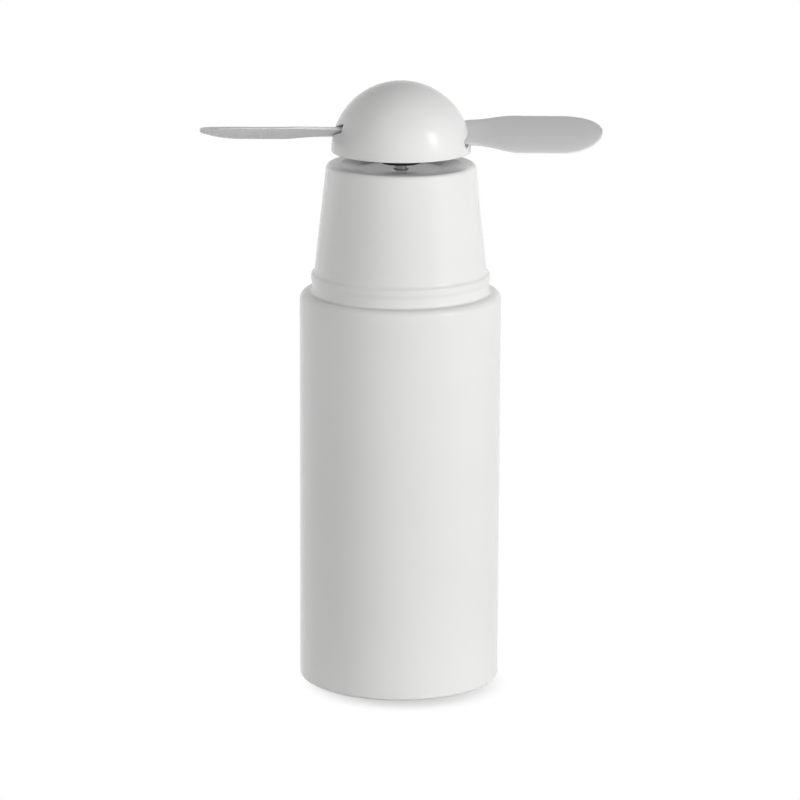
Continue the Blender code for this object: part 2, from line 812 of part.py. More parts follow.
def make_hub_dome():
    """Hollow hemisphere with a socket for the hub's peg and a pitched slot for each blade."""
    inner = dome_radius - dome_wall
    skirt = seat_gap
    profile = arc(dome_radius, math.pi / 2, 0, dome_rings, (0, dome_foot + skirt))
    profile[0] = (0, dome_foot + skirt + dome_radius)
    profile += [(dome_radius, dome_foot), (inner, dome_foot)]
    profile += arc(inner, 0, math.pi / 2, dome_rings // 2, (0, dome_foot + skirt))
    profile[-1] = (0, dome_foot + skirt + inner)
    dome = turned("hub_dome", profile, wall_steps)
    socket_inner = peg_radius + fit_gap
    socket = ring("dome_socket", socket_inner, socket_inner + socket_wall, core_top + seat_gap,
                  dome_foot + skirt + inner - dome_wall / 4)
    join(dome, socket)
    for i, turn in enumerate((0, math.pi)):
        cut(dome, blade_slot(f"dome_slot_{i}", turn, core_radius + overrun, dome_radius + overrun,
                             blade_throat_width))
    return finish(dome, white_abs, (0, 0, dome_foot))


# Cells, contacts and springs

def make_cell(name, x, upright):
    """Round cell with its nub up, or down where the cell is turned over."""
    edge = cell_edge
    shoulder = cell_length - cell_nub_height
    profile = [(0, cell_length), (cell_nub_radius, cell_length), (cell_nub_radius, shoulder),
               (cell_radius - edge, shoulder), (cell_radius, shoulder - edge), (cell_radius, edge),
               (cell_radius - edge, 0), (0, 0)]
    if not upright:
        profile = [(r, cell_length - z) for r, z in reversed(profile)]
    profile = [(r, z + cell_foot) for r, z in profile]
    cell = turned(name, profile, round_steps, (x, 0))
    return finish(cell, cell_sleeve)


def strip(name, line, material):
    """Bent strip: a line of (x, z) points, thickened upwards and sideways, extruded along Y."""
    upper = [(x, z + strip_thickness) for x, z in line]
    outline = line + upper[::-1]
    item = prism(name, outline, -strip_width / 2, strip_width / 2, Matrix.Rotation(math.pi / 2, 4, "X"))
    return finish(item, material)


def make_positive_contact():
    """Strip under the chassis plate with a lowered pad on the upright cell's nub."""
    level = strip_top - strip_thickness
    pad = cell_top + seat_gap
    near = -cell_offset + strip_pad / 2
    far = -cell_offset - strip_pad / 2
    line = [(far, pad), (near, pad), (near + strip_thickness, level), (-strip_tab, level)]
    return strip("positive_contact", line, bright_steel)


def make_negative_contact():
    """Flat strip under the chassis plate that carries the spring of the turned cell."""
    level = strip_top - strip_thickness
    return strip("negative_contact", [(strip_tab, level), (strip_reach, level)], bright_steel)


def coil(name, x, low, high):
    """Coil spring on an upright line at x."""
    low += spring_wire_radius
    high -= spring_wire_radius
    count = spring_turns * spring_points_per_turn
    path = []
    for i in range(count + 1):
        angle = math.tau * i / spring_points_per_turn
        path.append((x + spring_radius * math.cos(angle), spring_radius * math.sin(angle),
                     low + (high - low) * i / count))
    return finish(wire(name, path, spring_wire_radius), bright_steel)


def make_door_contact():
    """Bridge strip on the door: flat under the spring, raised under the turned cell's nub."""
    level = door_top + seat_gap
    pad = cell_foot - seat_gap - strip_thickness
    near = cell_offset - strip_pad / 2
    line = [(-cell_offset - strip_pad / 2, level), (near - strip_thickness, level), (near, pad),
            (cell_offset + strip_pad / 2, pad)]
    return strip("door_contact", line, bright_steel)


# Battery door

def make_battery_door():
    """Round cover with a coin slot outside and a ring with three bayonet lugs inside."""
    disc = bore_radius - seat_gap
    ring_inner = door_ring_radius - door_ring_wall
    ring_top = door_top + door_ring_height
    profile = [(0, door_top), (ring_inner, door_top), (ring_inner, ring_top), (door_ring_radius, ring_top),
               (door_ring_radius, door_top), (disc, door_top), (disc, door_foot + foot_edge),
               (disc - foot_edge, door_foot), (0, door_foot)]
    door = turned("battery_door", profile, wall_steps)
    for i in range(ledge_count):
        middle = math.tau * i / ledge_count + math.pi / 2
        lug = sector(f"lug_{i}", door_ring_radius - door_ring_wall / 2, disc, middle, lug_half_angle,
                     lug_foot, lug_foot + lug_height)
        join(door, lug)
    slot = block("coin_slot", (-coin_slot_length / 2, -coin_slot_width / 2, door_foot - overrun),
                 (coin_slot_length / 2, coin_slot_width / 2, door_foot + coin_slot_depth))
    cut(door, slot)
    return finish(door, white_abs, (0, 0, door_foot))


# Slide switch

cavity_floor = switch_face - switch_cavity_depth
pin_levels = {"off": switch_level - pin_pitch, "common": switch_level, "on": switch_level + pin_pitch}


def make_switch_housing():
    """Moulded tray with a cavity for the wiper and a hole round each pin."""
    tray = block("switch_housing", (-switch_half_width, switch_floor, switch_level - switch_half_length),
                 (switch_half_width, switch_face, switch_level + switch_half_length))
    half_length = lever_block_half_length + switch_travel / 2 + seat_gap
    cut(tray, block("switch_cavity",
                    (-switch_cavity_half_width, cavity_floor, switch_level - half_length),
                    (switch_cavity_half_width, switch_face + overrun, switch_level + half_length)))
    for label, z in pin_levels.items():
        half_x = pin_width / 2 + fit_gap
        half_z = pin_thickness / 2 + fit_gap
        cut(tray, block(f"pin_hole_{label}", (-half_x, switch_floor - overrun, z - half_z),
                        (half_x, cavity_floor + overrun, z + half_z)))
    return finish(tray, black_abs)


def make_switch_terminal(label):
    """Flat pin from the cavity's floor to a solder tail behind the spine."""
    z = pin_levels[label]
    pin = block(f"switch_terminal_{label}",
                (-pin_width / 2, switch_floor - pin_tail, z - pin_thickness / 2),
                (pin_width / 2, cavity_floor + pin_head, z + pin_thickness / 2))
    return finish(pin, bright_steel)


def make_switch_frame():
    """Folded steel cover over the tray, with an ear at each end on the spine's posts and a lever slot."""
    half = switch_half_length + seat_gap
    far = half + cover_sheet + ear_length
    foot = switch_floor
    outline = [(foot, -far), (foot + cover_sheet, -far), (foot + cover_sheet, -half - cover_sheet),
               (cover_outer, -half - cover_sheet), (cover_outer, half + cover_sheet),
               (foot + cover_sheet, half + cover_sheet), (foot + cover_sheet, far), (foot, far),
               (foot, half), (cover_inner, half), (cover_inner, -half), (foot, -half)]
    outline = [(y, z + switch_level) for y, z in outline]
    half_width = switch_half_width + seat_gap + cover_sheet
    frame = prism("switch_frame", outline, -half_width, half_width, side_on)
    side_half = half + cover_sheet / 2
    for side in (-1, 1):
        xs = sorted((side * half_width, side * (half_width - cover_sheet)))
        join(frame, block(f"cover_side_{side}", (xs[0], foot + cover_sheet, switch_level - side_half),
                          (xs[1], cover_outer - cover_sheet / 2, switch_level + side_half)))
    reach = lever_stem_half_length + switch_travel / 2 + seat_gap
    slot_half = lever_stem_half_width + seat_gap
    lever_slot = block("lever_slot", (-slot_half, cover_inner - fit_gap, switch_level - reach),
                       (slot_half, cover_outer + overrun, switch_level + reach))
    cut(frame, lever_slot)
    for end in (-1, 1):
        z = switch_level + end * (half + cover_sheet + ear_length / 2)
        hole = rod(f"ear_hole_{end}", post_radius + fit_gap, foot - overrun, foot + cover_sheet + overrun)
        hole.matrix_world = Matrix.Translation((0, 0, z)) @ Matrix.Rotation(-math.pi / 2, 4, "X")
        cut(frame, hole)
    return finish(frame, bright_steel)


def make_switch_wiper():
    """Thin strip that bridges two neighbouring pins."""
    low = cavity_floor + pin_head + running_gap
    wiper = block("switch_wiper", (-wiper_half_width, low, off_level - wiper_half_length),
                  (wiper_half_width, low + wiper_thickness, off_level + wiper_half_length))
    return finish(wiper, copper, (0, low, off_level))


def make_switch_lever():
    """Block in the cavity with a stem through the cover into the knob."""
    low = cavity_floor + pin_head + running_gap + wiper_thickness + running_gap
    lever = block("switch_lever", (-lever_block_half_width, low, off_level - lever_block_half_length),
                  (lever_block_half_width, switch_face, off_level + lever_block_half_length))
    stem = block("lever_stem",
                 (-lever_stem_half_width, switch_face - fit_gap, off_level - lever_stem_half_length),
                 (lever_stem_half_width, lever_tip, off_level + lever_stem_half_length))
    join(lever, stem)
    return finish(lever, black_abs, (0, low, off_level))


def make_switch_knob():
    """Curved plate behind the wall, with a grooved block through the window and a pocket for the lever."""
    outer = knob_plate_outer
    middle = math.pi / 2
    plate = sector("switch_knob", knob_plate_inner, outer, middle, math.asin(knob_plate_half_width / outer),
                   off_level - knob_plate_half_length, off_level + knob_plate_half_length)
    grip_foot = off_level - knob_half_length
    grip = sector("knob_grip", outer - knob_plate_thickness / 2, knob_outer, middle,
                  math.asin(knob_half_width / knob_outer), grip_foot, off_level + knob_half_length)
    join(plate, grip)
    pitch = 2 * knob_half_length / (knob_groove_count + 1)
    reach = knob_half_width + overrun
    for i in range(knob_groove_count):
        z = grip_foot + pitch * (i + 1)
        cut(plate, block(f"grip_groove_{i}",
                         (-reach, knob_outer - knob_groove_depth, z - knob_groove_width / 2),
                         (reach, knob_outer + overrun, z + knob_groove_width / 2)))
    pocket = block("lever_pocket",
                   (-lever_stem_half_width - seat_gap, knob_plate_inner - overrun,
                    off_level - lever_stem_half_length - seat_gap),
                   (lever_stem_half_width + seat_gap, lever_tip + seat_gap,
                    off_level + lever_stem_half_length + seat_gap))
    cut(plate, pocket)
    return finish(plate, white_abs, (0, bore_radius, off_level))


# Leads inside the body

def make_leads():
    """Three insulated leads through the valley between the cells and the chassis's centre hole."""
    tail = switch_floor - pin_tail
    contact = strip_top - strip_thickness
    tag = bell_foot - tag_length
    stand_off = lead_radius + seat_gap
    drop = stand_off + seat_gap
    aside = pin_width / 2 + stand_off
    leads = {
        "wire_battery_switch": (red_lead, [
            (-strip_tab, 0, contact - drop),
            (-strip_tab / 2, strip_tab / 2, contact - drop - lead_radius),
            (0, tag_offset, cell_top - lead_radius),
            (0, tail - drop, cell_top - strip_reach / 2),
            (0, tail - stand_off, pin_levels["on"])]),
        "wire_switch_motor": (red_lead, [
            (0, tail - stand_off, pin_levels["common"]),
            (aside, tail - fit_gap, pin_levels["common"] + stand_off),
            (aside, tail, pin_levels["on"] + stand_off),
            (aside, tail - fit_gap, cell_top - strip_tab),
            (aside, tag_offset - strip_tab / 2, plate_foot),
            (lead_radius, tag_offset - stand_off, plate_top - fit_gap),
            (0, tag_offset, tag - stand_off)]),
        "wire_battery_motor": (black_lead, [
            (strip_tab - lead_radius, 0, contact - drop),
            (strip_tab / 2, -strip_tab, contact),
            (lead_radius, -tag_offset + stand_off, plate_top - stand_off),
            (0, -tag_offset, tag - stand_off)]),
    }
    for name, (material, points) in leads.items():
        finish(wire(name, smooth_path(points, lead_points_per_span), lead_radius, 2), material)


# Assembly

def main():
    make_body_shell()
    make_neck_housing()
    make_chassis()
    make_chassis_screw("chassis_screw_front", -screw_offset)
    make_chassis_screw("chassis_screw_rear", screw_offset)
    make_motor_can()
    make_motor_end_bell()
    make_bush("front_bush", motor_front + motor_nose_height - fit_gap)
    make_bush("rear_bush", bell_foot - bell_nose_height + bush_length)
    make_magnet("magnet_left", math.pi)
    make_magnet("magnet_right", 0)
    make_brush("brush_left", -1)
    make_brush("brush_right", 1)
    make_rotor_core()
    for i, label in enumerate("abc"):
        make_rotor_winding(f"rotor_winding_{label}", math.tau * i / pole_count)
    make_commutator()
    make_motor_shaft()
    make_blade_hub()
    make_hub_dome()
    make_blade("blade_right", 0)
    make_blade("blade_left", math.pi)
    make_cell("battery_left", -cell_offset, True)
    make_cell("battery_right", cell_offset, False)
    make_positive_contact()
    make_negative_contact()
    coil("negative_spring", cell_offset, cell_top + seat_gap, strip_top - strip_thickness - seat_gap)
    make_battery_door()
    make_door_contact()
    coil("door_spring", -cell_offset, door_top + seat_gap + strip_thickness + seat_gap, cell_foot - seat_gap)
    make_switch_housing()
    make_switch_frame()
    for label in pin_levels:
        make_switch_terminal(label)
    make_switch_wiper()
    make_switch_lever()
    make_switch_knob()
    make_leads()


main()
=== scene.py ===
"""Dresses the mini fan: fine surfaces for what shows, a procedural finish on every piece, and the studio."""

import json
import math

import bmesh
import bpy
import numpy as np
from bpy.props import FloatProperty, FloatVectorProperty, IntProperty, PointerProperty
from mathutils import Matrix, Vector


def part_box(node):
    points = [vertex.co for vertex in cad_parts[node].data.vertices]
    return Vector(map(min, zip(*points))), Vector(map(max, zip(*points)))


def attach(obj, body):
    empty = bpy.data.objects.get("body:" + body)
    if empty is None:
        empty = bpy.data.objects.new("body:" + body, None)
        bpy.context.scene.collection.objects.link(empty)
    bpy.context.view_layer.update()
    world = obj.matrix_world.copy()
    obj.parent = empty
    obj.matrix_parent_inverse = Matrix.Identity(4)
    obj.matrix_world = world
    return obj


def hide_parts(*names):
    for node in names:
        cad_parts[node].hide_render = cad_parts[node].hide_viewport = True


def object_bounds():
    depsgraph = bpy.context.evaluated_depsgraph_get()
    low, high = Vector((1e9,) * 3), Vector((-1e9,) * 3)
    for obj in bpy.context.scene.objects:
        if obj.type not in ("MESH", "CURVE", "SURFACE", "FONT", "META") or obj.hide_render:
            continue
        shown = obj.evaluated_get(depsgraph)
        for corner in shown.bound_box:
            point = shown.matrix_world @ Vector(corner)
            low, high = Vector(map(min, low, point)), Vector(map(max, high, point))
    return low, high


bl_info = {
    "name": "Mini fan",
    "version": (1, 0, 0),
    "blender": (4, 5, 0),
    "location": "3D View > Sidebar > Mini fan",
    "description": "Builds the dressed mini fan round its packed frame, piece by piece",
    "category": "Object",
}

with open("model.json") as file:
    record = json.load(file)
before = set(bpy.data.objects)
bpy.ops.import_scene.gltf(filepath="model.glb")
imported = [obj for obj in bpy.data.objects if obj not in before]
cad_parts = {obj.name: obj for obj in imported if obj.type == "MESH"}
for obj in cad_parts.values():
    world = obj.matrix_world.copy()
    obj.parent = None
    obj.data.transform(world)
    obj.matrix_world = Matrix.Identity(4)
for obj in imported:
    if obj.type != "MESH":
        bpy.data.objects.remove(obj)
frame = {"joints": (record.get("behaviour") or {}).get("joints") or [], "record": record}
cad_low, cad_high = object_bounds()

MM = 0.001
WHITE = (1, 1, 1, 1)

body_low, body_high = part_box("body_shell")
neck_low, neck_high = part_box("neck_housing")
dome_low, dome_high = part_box("hub_dome")
hub_low, hub_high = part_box("blade_hub")
blade_low, blade_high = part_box("blade_right")
door_low, door_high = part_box("battery_door")
knob_low, knob_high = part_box("switch_knob")
shaft_low, shaft_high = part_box("motor_shaft")


# Sizes and colours that a user would change

class FanSizes(bpy.types.PropertyGroup):
    """Rounding, walls and fineness of the dressed pieces."""
    around: IntProperty(name="Round steps", description="Points round a turned piece", default=192, min=24)
    wall: FloatProperty(name="Body wall", description="Thickness of the body's wall", default=1.6 * MM,
                        unit="LENGTH", precision=5)
    shoulder_edge: FloatProperty(name="Shoulder edge", description="Rounding of the body's shoulder",
                                 default=1.3 * MM, unit="LENGTH", precision=5)
    foot_edge: FloatProperty(name="Foot edge", description="Rounding of the body's foot", default=0.45 * MM,
                             unit="LENGTH", precision=5)
    bead_rise: FloatProperty(name="Bead rise", description="How far the neck's bead stands out",
                             default=0.2 * MM, unit="LENGTH", precision=5)
    blade_thickness: FloatProperty(name="Blade thickness", description="Thickness of a blade at its root",
                                   default=1.0 * MM, unit="LENGTH", precision=5)
    blade_pitch: FloatProperty(name="Blade pitch", description="Angle of a blade to the plane of spin",
                               default=math.radians(17), subtype="ANGLE")


class FanColours(bpy.types.PropertyGroup):
    """Base colours of the finishes that show most."""
    shell: FloatVectorProperty(name="Shell", description="Glossy moulded shell", subtype="COLOR", size=3,
                               default=(0.80, 0.80, 0.795), min=0, max=1)
    blade: FloatVectorProperty(name="Blade", description="Soft blade", subtype="COLOR", size=3,
                               default=(0.80, 0.805, 0.80), min=0, max=1)
    inside: FloatVectorProperty(name="Inner moulding", description="Moulded frame inside the body",
                                subtype="COLOR", size=3, default=(0.66, 0.66, 0.65), min=0, max=1)


def sizes():
    """The scene's sizes, as the panel shows them."""
    return bpy.context.scene.fan_sizes


def colours():
    """The scene's colours, as the panel shows them."""
    return bpy.context.scene.fan_colours


# Shader maths

class Shade:
    """One output of a node, with arithmetic that adds Math nodes to the same tree."""

    def __init__(self, nodes, socket):
        self.nodes = nodes
        self.socket = socket

    def maths(self, operation, *values):
        """Math node of an operation on numbers and other outputs."""
        sockets = {i: value for i, value in enumerate(values)}
        return self.nodes.add("ShaderNodeMath", {"operation": operation}, sockets)

    def __add__(self, other):
        return self.maths("ADD", self, other)

    def __radd__(self, other):
        return self.maths("ADD", other, self)

    def __sub__(self, other):
        return self.maths("SUBTRACT", self, other)

    def __rsub__(self, other):
        return self.maths("SUBTRACT", other, self)

    def __mul__(self, other):
        return self.maths("MULTIPLY", self, other)

    def __rmul__(self, other):
        return self.maths("MULTIPLY", other, self)

    def __truediv__(self, other):
        return self.maths("DIVIDE", self, other)

    def __rtruediv__(self, other):
        return self.maths("DIVIDE", other, self)

    def step(self, low, high):
        """Rises smoothly from 0 at low to 1 at high."""
        return self.nodes.add("ShaderNodeMapRange", {"interpolation_type": "SMOOTHSTEP"},
                              {"Value": self, "From Min": low, "From Max": high})

    def sine(self):
        """Sine of the value, in radians."""
        return self.maths("SINE", self)


class Nodes:
    """A material's or world's node tree, and the one method that adds a node to it."""

    def __init__(self, tree):
        self.tree = tree

    def add(self, kind, settings=None, sockets=None, output=0):
        """Add a node of a kind, set its settings, fill or link its sockets, and return its output if any."""
        node = self.tree.nodes.new(kind)
        for key, value in (settings or {}).items():
            setattr(node, key, value)
        for key, value in (sockets or {}).items():
            if isinstance(value, Shade):
                self.tree.links.new(value.socket, node.inputs[key])
            else:
                node.inputs[key].default_value = value
        return Shade(self, node.outputs[output]) if len(node.outputs) else None

    def place(self):
        """The object's own coordinates, in metres."""
        return self.add("ShaderNodeTexCoord", output="Object")

    def height(self):
        """The upright part of that place, or of a ray's direction in a world."""
        return self.add("ShaderNodeSeparateXYZ", None, {"Vector": self.place()}, 2)

    def noise(self, scale, detail=2.0, roughness=0.5, stretch=None):
        """Noise from 0 to 1; scale counts features in a metre, and stretch scales each axis first."""
        where = self.place()
        if stretch:
            where = self.add("ShaderNodeMapping", None, {"Vector": where, "Scale": stretch})
        return self.add("ShaderNodeTexNoise", None,
                        {"Vector": where, "Scale": scale, "Detail": detail, "Roughness": roughness})

    def blend(self, factor, first, second):
        """Mix of two colours, which are the mixing node's sockets 6 and 7."""
        return self.add("ShaderNodeMix", {"data_type": "RGBA"}, {"Factor": factor, 6: first, 7: second}, 2)

    def bump(self, height, distance, strength):
        """Surface direction for a height of 0 to 1 that stands for a distance in metres."""
        sockets = {"Height": height, "Distance": distance, "Strength": strength}
        return self.add("ShaderNodeBump", None, sockets)

    def shown(self):
        """One for rays that look straight, in a mirror or through glass, and zero for those that light."""
        rays = ("Is Camera Ray", "Is Glossy Ray", "Is Transmission Ray")
        straight, mirrored, through = (self.add("ShaderNodeLightPath", output=ray) for ray in rays)
        return straight.maths("MAXIMUM", straight.maths("MAXIMUM", straight, mirrored), through)


def fresh_nodes(owner):
    """Emptied node tree of a material or a world."""
    owner.use_nodes = True
    owner.node_tree.nodes.clear()
    return Nodes(owner.node_tree)


def rgba(colour, light):
    """Colour times a lightness, held below 1, with an alpha of 1."""
    return (*(min(1.0, c * light) for c in colour), 1.0)


def principled(name, base, roughness, normal, metallic=0.0, **fixed):
    """Material of one Principled shader; fixed holds the numbers that are set straight on its sockets."""
    material = bpy.data.materials.new(name)
    nodes = fresh_nodes(material)
    sockets = {"Base Color": base(nodes), "Roughness": roughness(nodes), "Normal": normal(nodes),
               "Metallic": metallic}
    sockets.update({key.replace("_", " "): value for key, value in fixed.items()})
    shader = nodes.add("ShaderNodeBsdfPrincipled", None, sockets)
    nodes.add("ShaderNodeOutputMaterial", None, {"Surface": shader})
    return material


# Finishes

def moulded_gloss(name, colour, roughness=0.2):
    """Glossy moulding: faint orange peel, slight flow marks in the gloss and a trace of uneven colour."""
    def base(nodes):
        drift = nodes.noise(35, 3).step(0.35, 0.7)
        return nodes.blend(drift, rgba(colour, 0.985), rgba(colour, 1.01))

    def gloss(nodes):
        flow = nodes.noise(60, 4, 0.6, (1.0, 1.0, 0.25)).step(0.3, 0.75)
        handling = nodes.noise(18, 5, 0.65).step(0.5, 0.8)
        return roughness + 0.05 * flow + 0.05 * handling

    def peel(nodes):
        return nodes.bump(nodes.noise(700, 1) + 0.4 * nodes.noise(150, 2), 0.004 * MM, 0.6)

    return principled(name, base, gloss, peel, IOR=1.4)


def moulded_satin(name, colour, roughness=0.45, grain=2200):
    """Satin moulding with a fine spark-eroded grain."""
    def base(nodes):
        return nodes.blend(nodes.noise(80, 3), rgba(colour, 0.94), rgba(colour, 1.05))

    def gloss(nodes):
        return roughness - 0.05 + 0.12 * nodes.noise(500, 3)

    def texture(nodes):
        return nodes.bump(nodes.noise(grain, 3), 0.02 * MM, 0.7)

    return principled(name, base, gloss, texture)


def soft_foam(name, colour):
    """Soft blade skin: matt and finely pored, with painted shade that makes the pores a little darker."""
    def pores(nodes):
        sockets = {"Vector": nodes.place(), "Scale": 2600}
        return nodes.add("ShaderNodeTexVoronoi", {"feature": "F1"}, sockets).step(0.0, 0.45)

    def base(nodes):
        # random tone plus painted shade in the pores: the colour falls towards 0.95 where a pore is deepest
        tone_and_pore_shade = nodes.noise(120, 4) * 0.5 + 0.5 * pores(nodes)
        return nodes.blend(tone_and_pore_shade, rgba(colour, 0.95), rgba(colour, 1.02))

    def gloss(nodes):
        return 0.5 + 0.1 * nodes.noise(300, 3)

    def texture(nodes):
        return nodes.bump(pores(nodes) * 0.7 + nodes.noise(900, 3), 0.012 * MM, 0.25)

    return principled(name, base, gloss, texture, Sheen_Weight=0.08, Sheen_Roughness=0.5)


def worked_metal(name, colour, roughness, stretch, grain=900, depth=0.006):
    """Drawn, rolled or turned metal: fine lines along one way, with duller patches."""
    def lines(nodes):
        return nodes.noise(grain, 4, 0.6, stretch)

    def base(nodes):
        dull = nodes.noise(150, 4).step(0.35, 0.75)
        return nodes.blend(dull, rgba(colour, 0.88), rgba(colour, 1.06))

    def gloss(nodes):
        return roughness + 0.14 * lines(nodes) + 0.06 * nodes.noise(200, 3)

    def texture(nodes):
        return nodes.bump(lines(nodes), depth * MM, 0.8)

    return principled(name, base, gloss, texture, metallic=1.0)


def sintered(name, colour, roughness, metallic, grain=1800):
    """Pressed powder: speckled colour over a fine open grain."""
    def base(nodes):
        speck = nodes.noise(grain, 5, 0.7).step(0.35, 0.65)
        return nodes.blend(speck, rgba(colour, 0.7), rgba(colour, 1.2))

    def gloss(nodes):
        return roughness + 0.12 * nodes.noise(grain / 2, 3)

    def texture(nodes):
        return nodes.bump(nodes.noise(grain, 4, 0.7), 0.02 * MM, 0.8)

    return principled(name, base, gloss, texture, metallic=metallic)


def wound_copper(name, colour, pitch):
    """Enamelled wire laid side by side: fine ridges up the coil, and painted shade that darkens the valleys
    between the turns.
    """
    def ridge(nodes):
        wander = nodes.noise(400, 2) * 0.8
        return (nodes.height() * (math.tau / pitch) + wander).sine() * 0.5 + 0.5

    def base(nodes):
        # painted shade: the colour drops to a third of the copper's in the valleys between the turns of wire
        return nodes.blend(ridge(nodes).step(0.1, 0.7), rgba(colour, 0.35), rgba(colour, 1.1))

    def gloss(nodes):
        return 0.25 + 0.15 * nodes.noise(700, 2)

    def texture(nodes):
        return nodes.bump(ridge(nodes), pitch / 4, 0.9)

    return principled(name, base, gloss, texture, metallic=1.0)


def cell_jacket(name, low, high):
    """Plain printed sleeve of a cell: a dark body and a lighter band near one end, under a clear film."""
    def base(nodes):
        share = (nodes.height() - low) / (high - low)
        band = share.step(0.78, 0.785) - share.step(0.97, 0.975)
        print_grain = nodes.noise(1500, 2) * 0.15 + 0.9
        dark = nodes.blend(print_grain, (0.03, 0.035, 0.04, 1), (0.075, 0.08, 0.09, 1))
        return nodes.blend(band, dark, (0.55, 0.42, 0.20, 1))

    def gloss(nodes):
        return 0.22 + 0.1 * nodes.noise(90, 3)

    def texture(nodes):
        return nodes.bump(nodes.noise(260, 2), 0.01 * MM, 0.5)

    return principled(name, base, gloss, texture, metallic=0.3)


def lead_sheath(name, colour):
    """Insulated lead: smooth sheath with slight waves."""
    def base(nodes):
        return nodes.blend(nodes.noise(300, 3), rgba(colour, 0.8), rgba(colour, 1.15))

    def gloss(nodes):
        return 0.35 + 0.12 * nodes.noise(500, 2)

    def texture(nodes):
        return nodes.bump(nodes.noise(800, 2), 0.01 * MM, 0.5)

    return principled(name, base, gloss, texture)


finishes = {}


def make_finishes():
    """Fills the table of finishes: one for each material slot of the record, and some for single pieces."""
    steel = (0.60, 0.60, 0.62)
    brass = (0.72, 0.50, 0.28)
    copper = (0.80, 0.42, 0.24)
    finishes.update({
        "white_abs": moulded_gloss("white_abs", colours().shell),
        "inner_abs": moulded_satin("inner_abs", colours().inside),
        "black_abs": moulded_satin("black_abs", (0.022, 0.022, 0.024), 0.4),
        "soft_blade": soft_foam("soft_blade", colours().blade),
        "steel": worked_metal("drawn_steel", steel, 0.22, (1.0, 1.0, 0.06)),
        "ground_steel": worked_metal("ground_steel", steel, 0.12, (1.0, 1.0, 6.0), 1500, 0.003),
        "spring_steel": worked_metal("spring_steel", (0.66, 0.65, 0.62), 0.16, (0.3, 1.0, 1.0)),
        "laminated": worked_metal("laminated_core", (0.34, 0.34, 0.36), 0.38, (0.05, 0.05, 3.0), 700, 0.03),
        "bronze": sintered("sintered_bronze", brass, 0.42, 1.0),
        "ferrite": sintered("ferrite", (0.045, 0.045, 0.05), 0.6, 0.0),
        "copper": worked_metal("rolled_copper", copper, 0.2, (1.0, 1.0, 0.1)),
        "winding": wound_copper("wound_copper", (0.80, 0.34, 0.14), 0.28 * MM),
        "red_lead": lead_sheath("red_lead", (0.50, 0.03, 0.025)),
        "black_lead": lead_sheath("black_lead", (0.02, 0.02, 0.022)),
    })
    for side in ("left", "right"):
        low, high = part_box(f"battery_{side}")
        ends = (low[2], high[2]) if side == "left" else (high[2], low[2])
        finishes[f"battery_{side}"] = cell_jacket(f"cell_jacket_{side}", *ends)


# Surfaces

def place_object(name, data):
    """Object that holds a mesh, a light or a camera, in the scene."""
    item = bpy.data.objects.new(name, data)
    bpy.context.scene.collection.objects.link(item)
    return item


def surface(name, points, wrap_around=True, wrap_along=False):
    """Mesh object from a grid of points, rows along and columns around; each face joins four neighbours."""
    rows, columns = points.shape[:2]
    index = np.arange(rows * columns).reshape(rows, columns)
    if wrap_along:
        index = np.vstack([index, index[:1]])
    if wrap_around:
        index = np.hstack([index, index[:, :1]])
    faces = np.stack([index[:-1, :-1], index[:-1, 1:], index[1:, 1:], index[1:, :-1]], -1).reshape(-1, 4)
    mesh = bpy.data.meshes.new(name)
    mesh.from_pydata(points.reshape(-1, 3).tolist(), [], faces.tolist())
    return place_object(name, mesh)


def weld(item, distance=0.001 * MM):
    """Join doubled points, drop flat faces and turn every face outwards."""
    work = bmesh.new()
    work.from_mesh(item.data)
    bmesh.ops.remove_doubles(work, verts=work.verts, dist=distance)
    bmesh.ops.dissolve_degenerate(work, edges=work.edges, dist=distance / 10)
    bmesh.ops.recalc_face_normals(work, faces=work.faces)
    work.to_mesh(item.data)
    work.free()
    return item


def rounded(corners, steps=8):
    """Outline of (r, z, radius) corners, each rounded by its radius.

    Each corner gives way to an arc that touches both of its sides: the arc starts and ends at
    radius / tan(half the corner's angle) from the corner, and its centre lies on the corner's bisector."""
    most_of_side, tiny = 0.499, 1e-9
    table = np.array(corners, float)
    here, radius = table[:, :2], table[:, 2]
    back = np.roll(here, 1, 0) - here
    ahead = np.roll(here, -1, 0) - here
    back_length, ahead_length = np.linalg.norm(back, axis=1), np.linalg.norm(ahead, axis=1)
    reach = np.minimum(back_length, ahead_length) * most_of_side
    back /= back_length[:, None]
    ahead /= ahead_length[:, None]
    half = np.arccos(np.clip((back * ahead).sum(1), -1, 1)) / 2
    tangent = np.minimum(radius / np.tan(half), reach)
    start = here + back * tangent[:, None]
    end = here + ahead * tangent[:, None]
    bow = tangent * np.tan(half)
    middle = back + ahead
    middle /= np.maximum(np.linalg.norm(middle, axis=1), tiny)[:, None]
    centre = here + middle * (bow / np.sin(half))[:, None]
    share = np.linspace(0, 1, steps + 1)[None, :, None]
    first = (start - centre)[:, None]
    last = (end - centre)[:, None]
    sweep = (math.pi - 2 * half)[:, None, None]
    arc = np.sin((1 - share) * sweep) * first + np.sin(share * sweep) * last
    arc = centre[:, None] + arc / np.maximum(np.sin(sweep), tiny)
    return np.vstack([arc[i] if radius[i] > 0 else here[i:i + 1] for i in range(len(here))])


def fill_gaps(outline, spacing):
    """Outline with points added along each straight run longer than the spacing."""
    ahead = np.roll(outline, -1, 0)
    counts = np.maximum(1, np.ceil(np.linalg.norm(ahead - outline, axis=1) / spacing)).astype(int)
    starts = np.repeat(np.arange(len(outline)), counts)
    shares = (np.arange(counts.sum()) - np.repeat(np.cumsum(counts) - counts, counts)) / counts[starts]
    return outline[starts] + (ahead - outline)[starts] * shares[:, None]


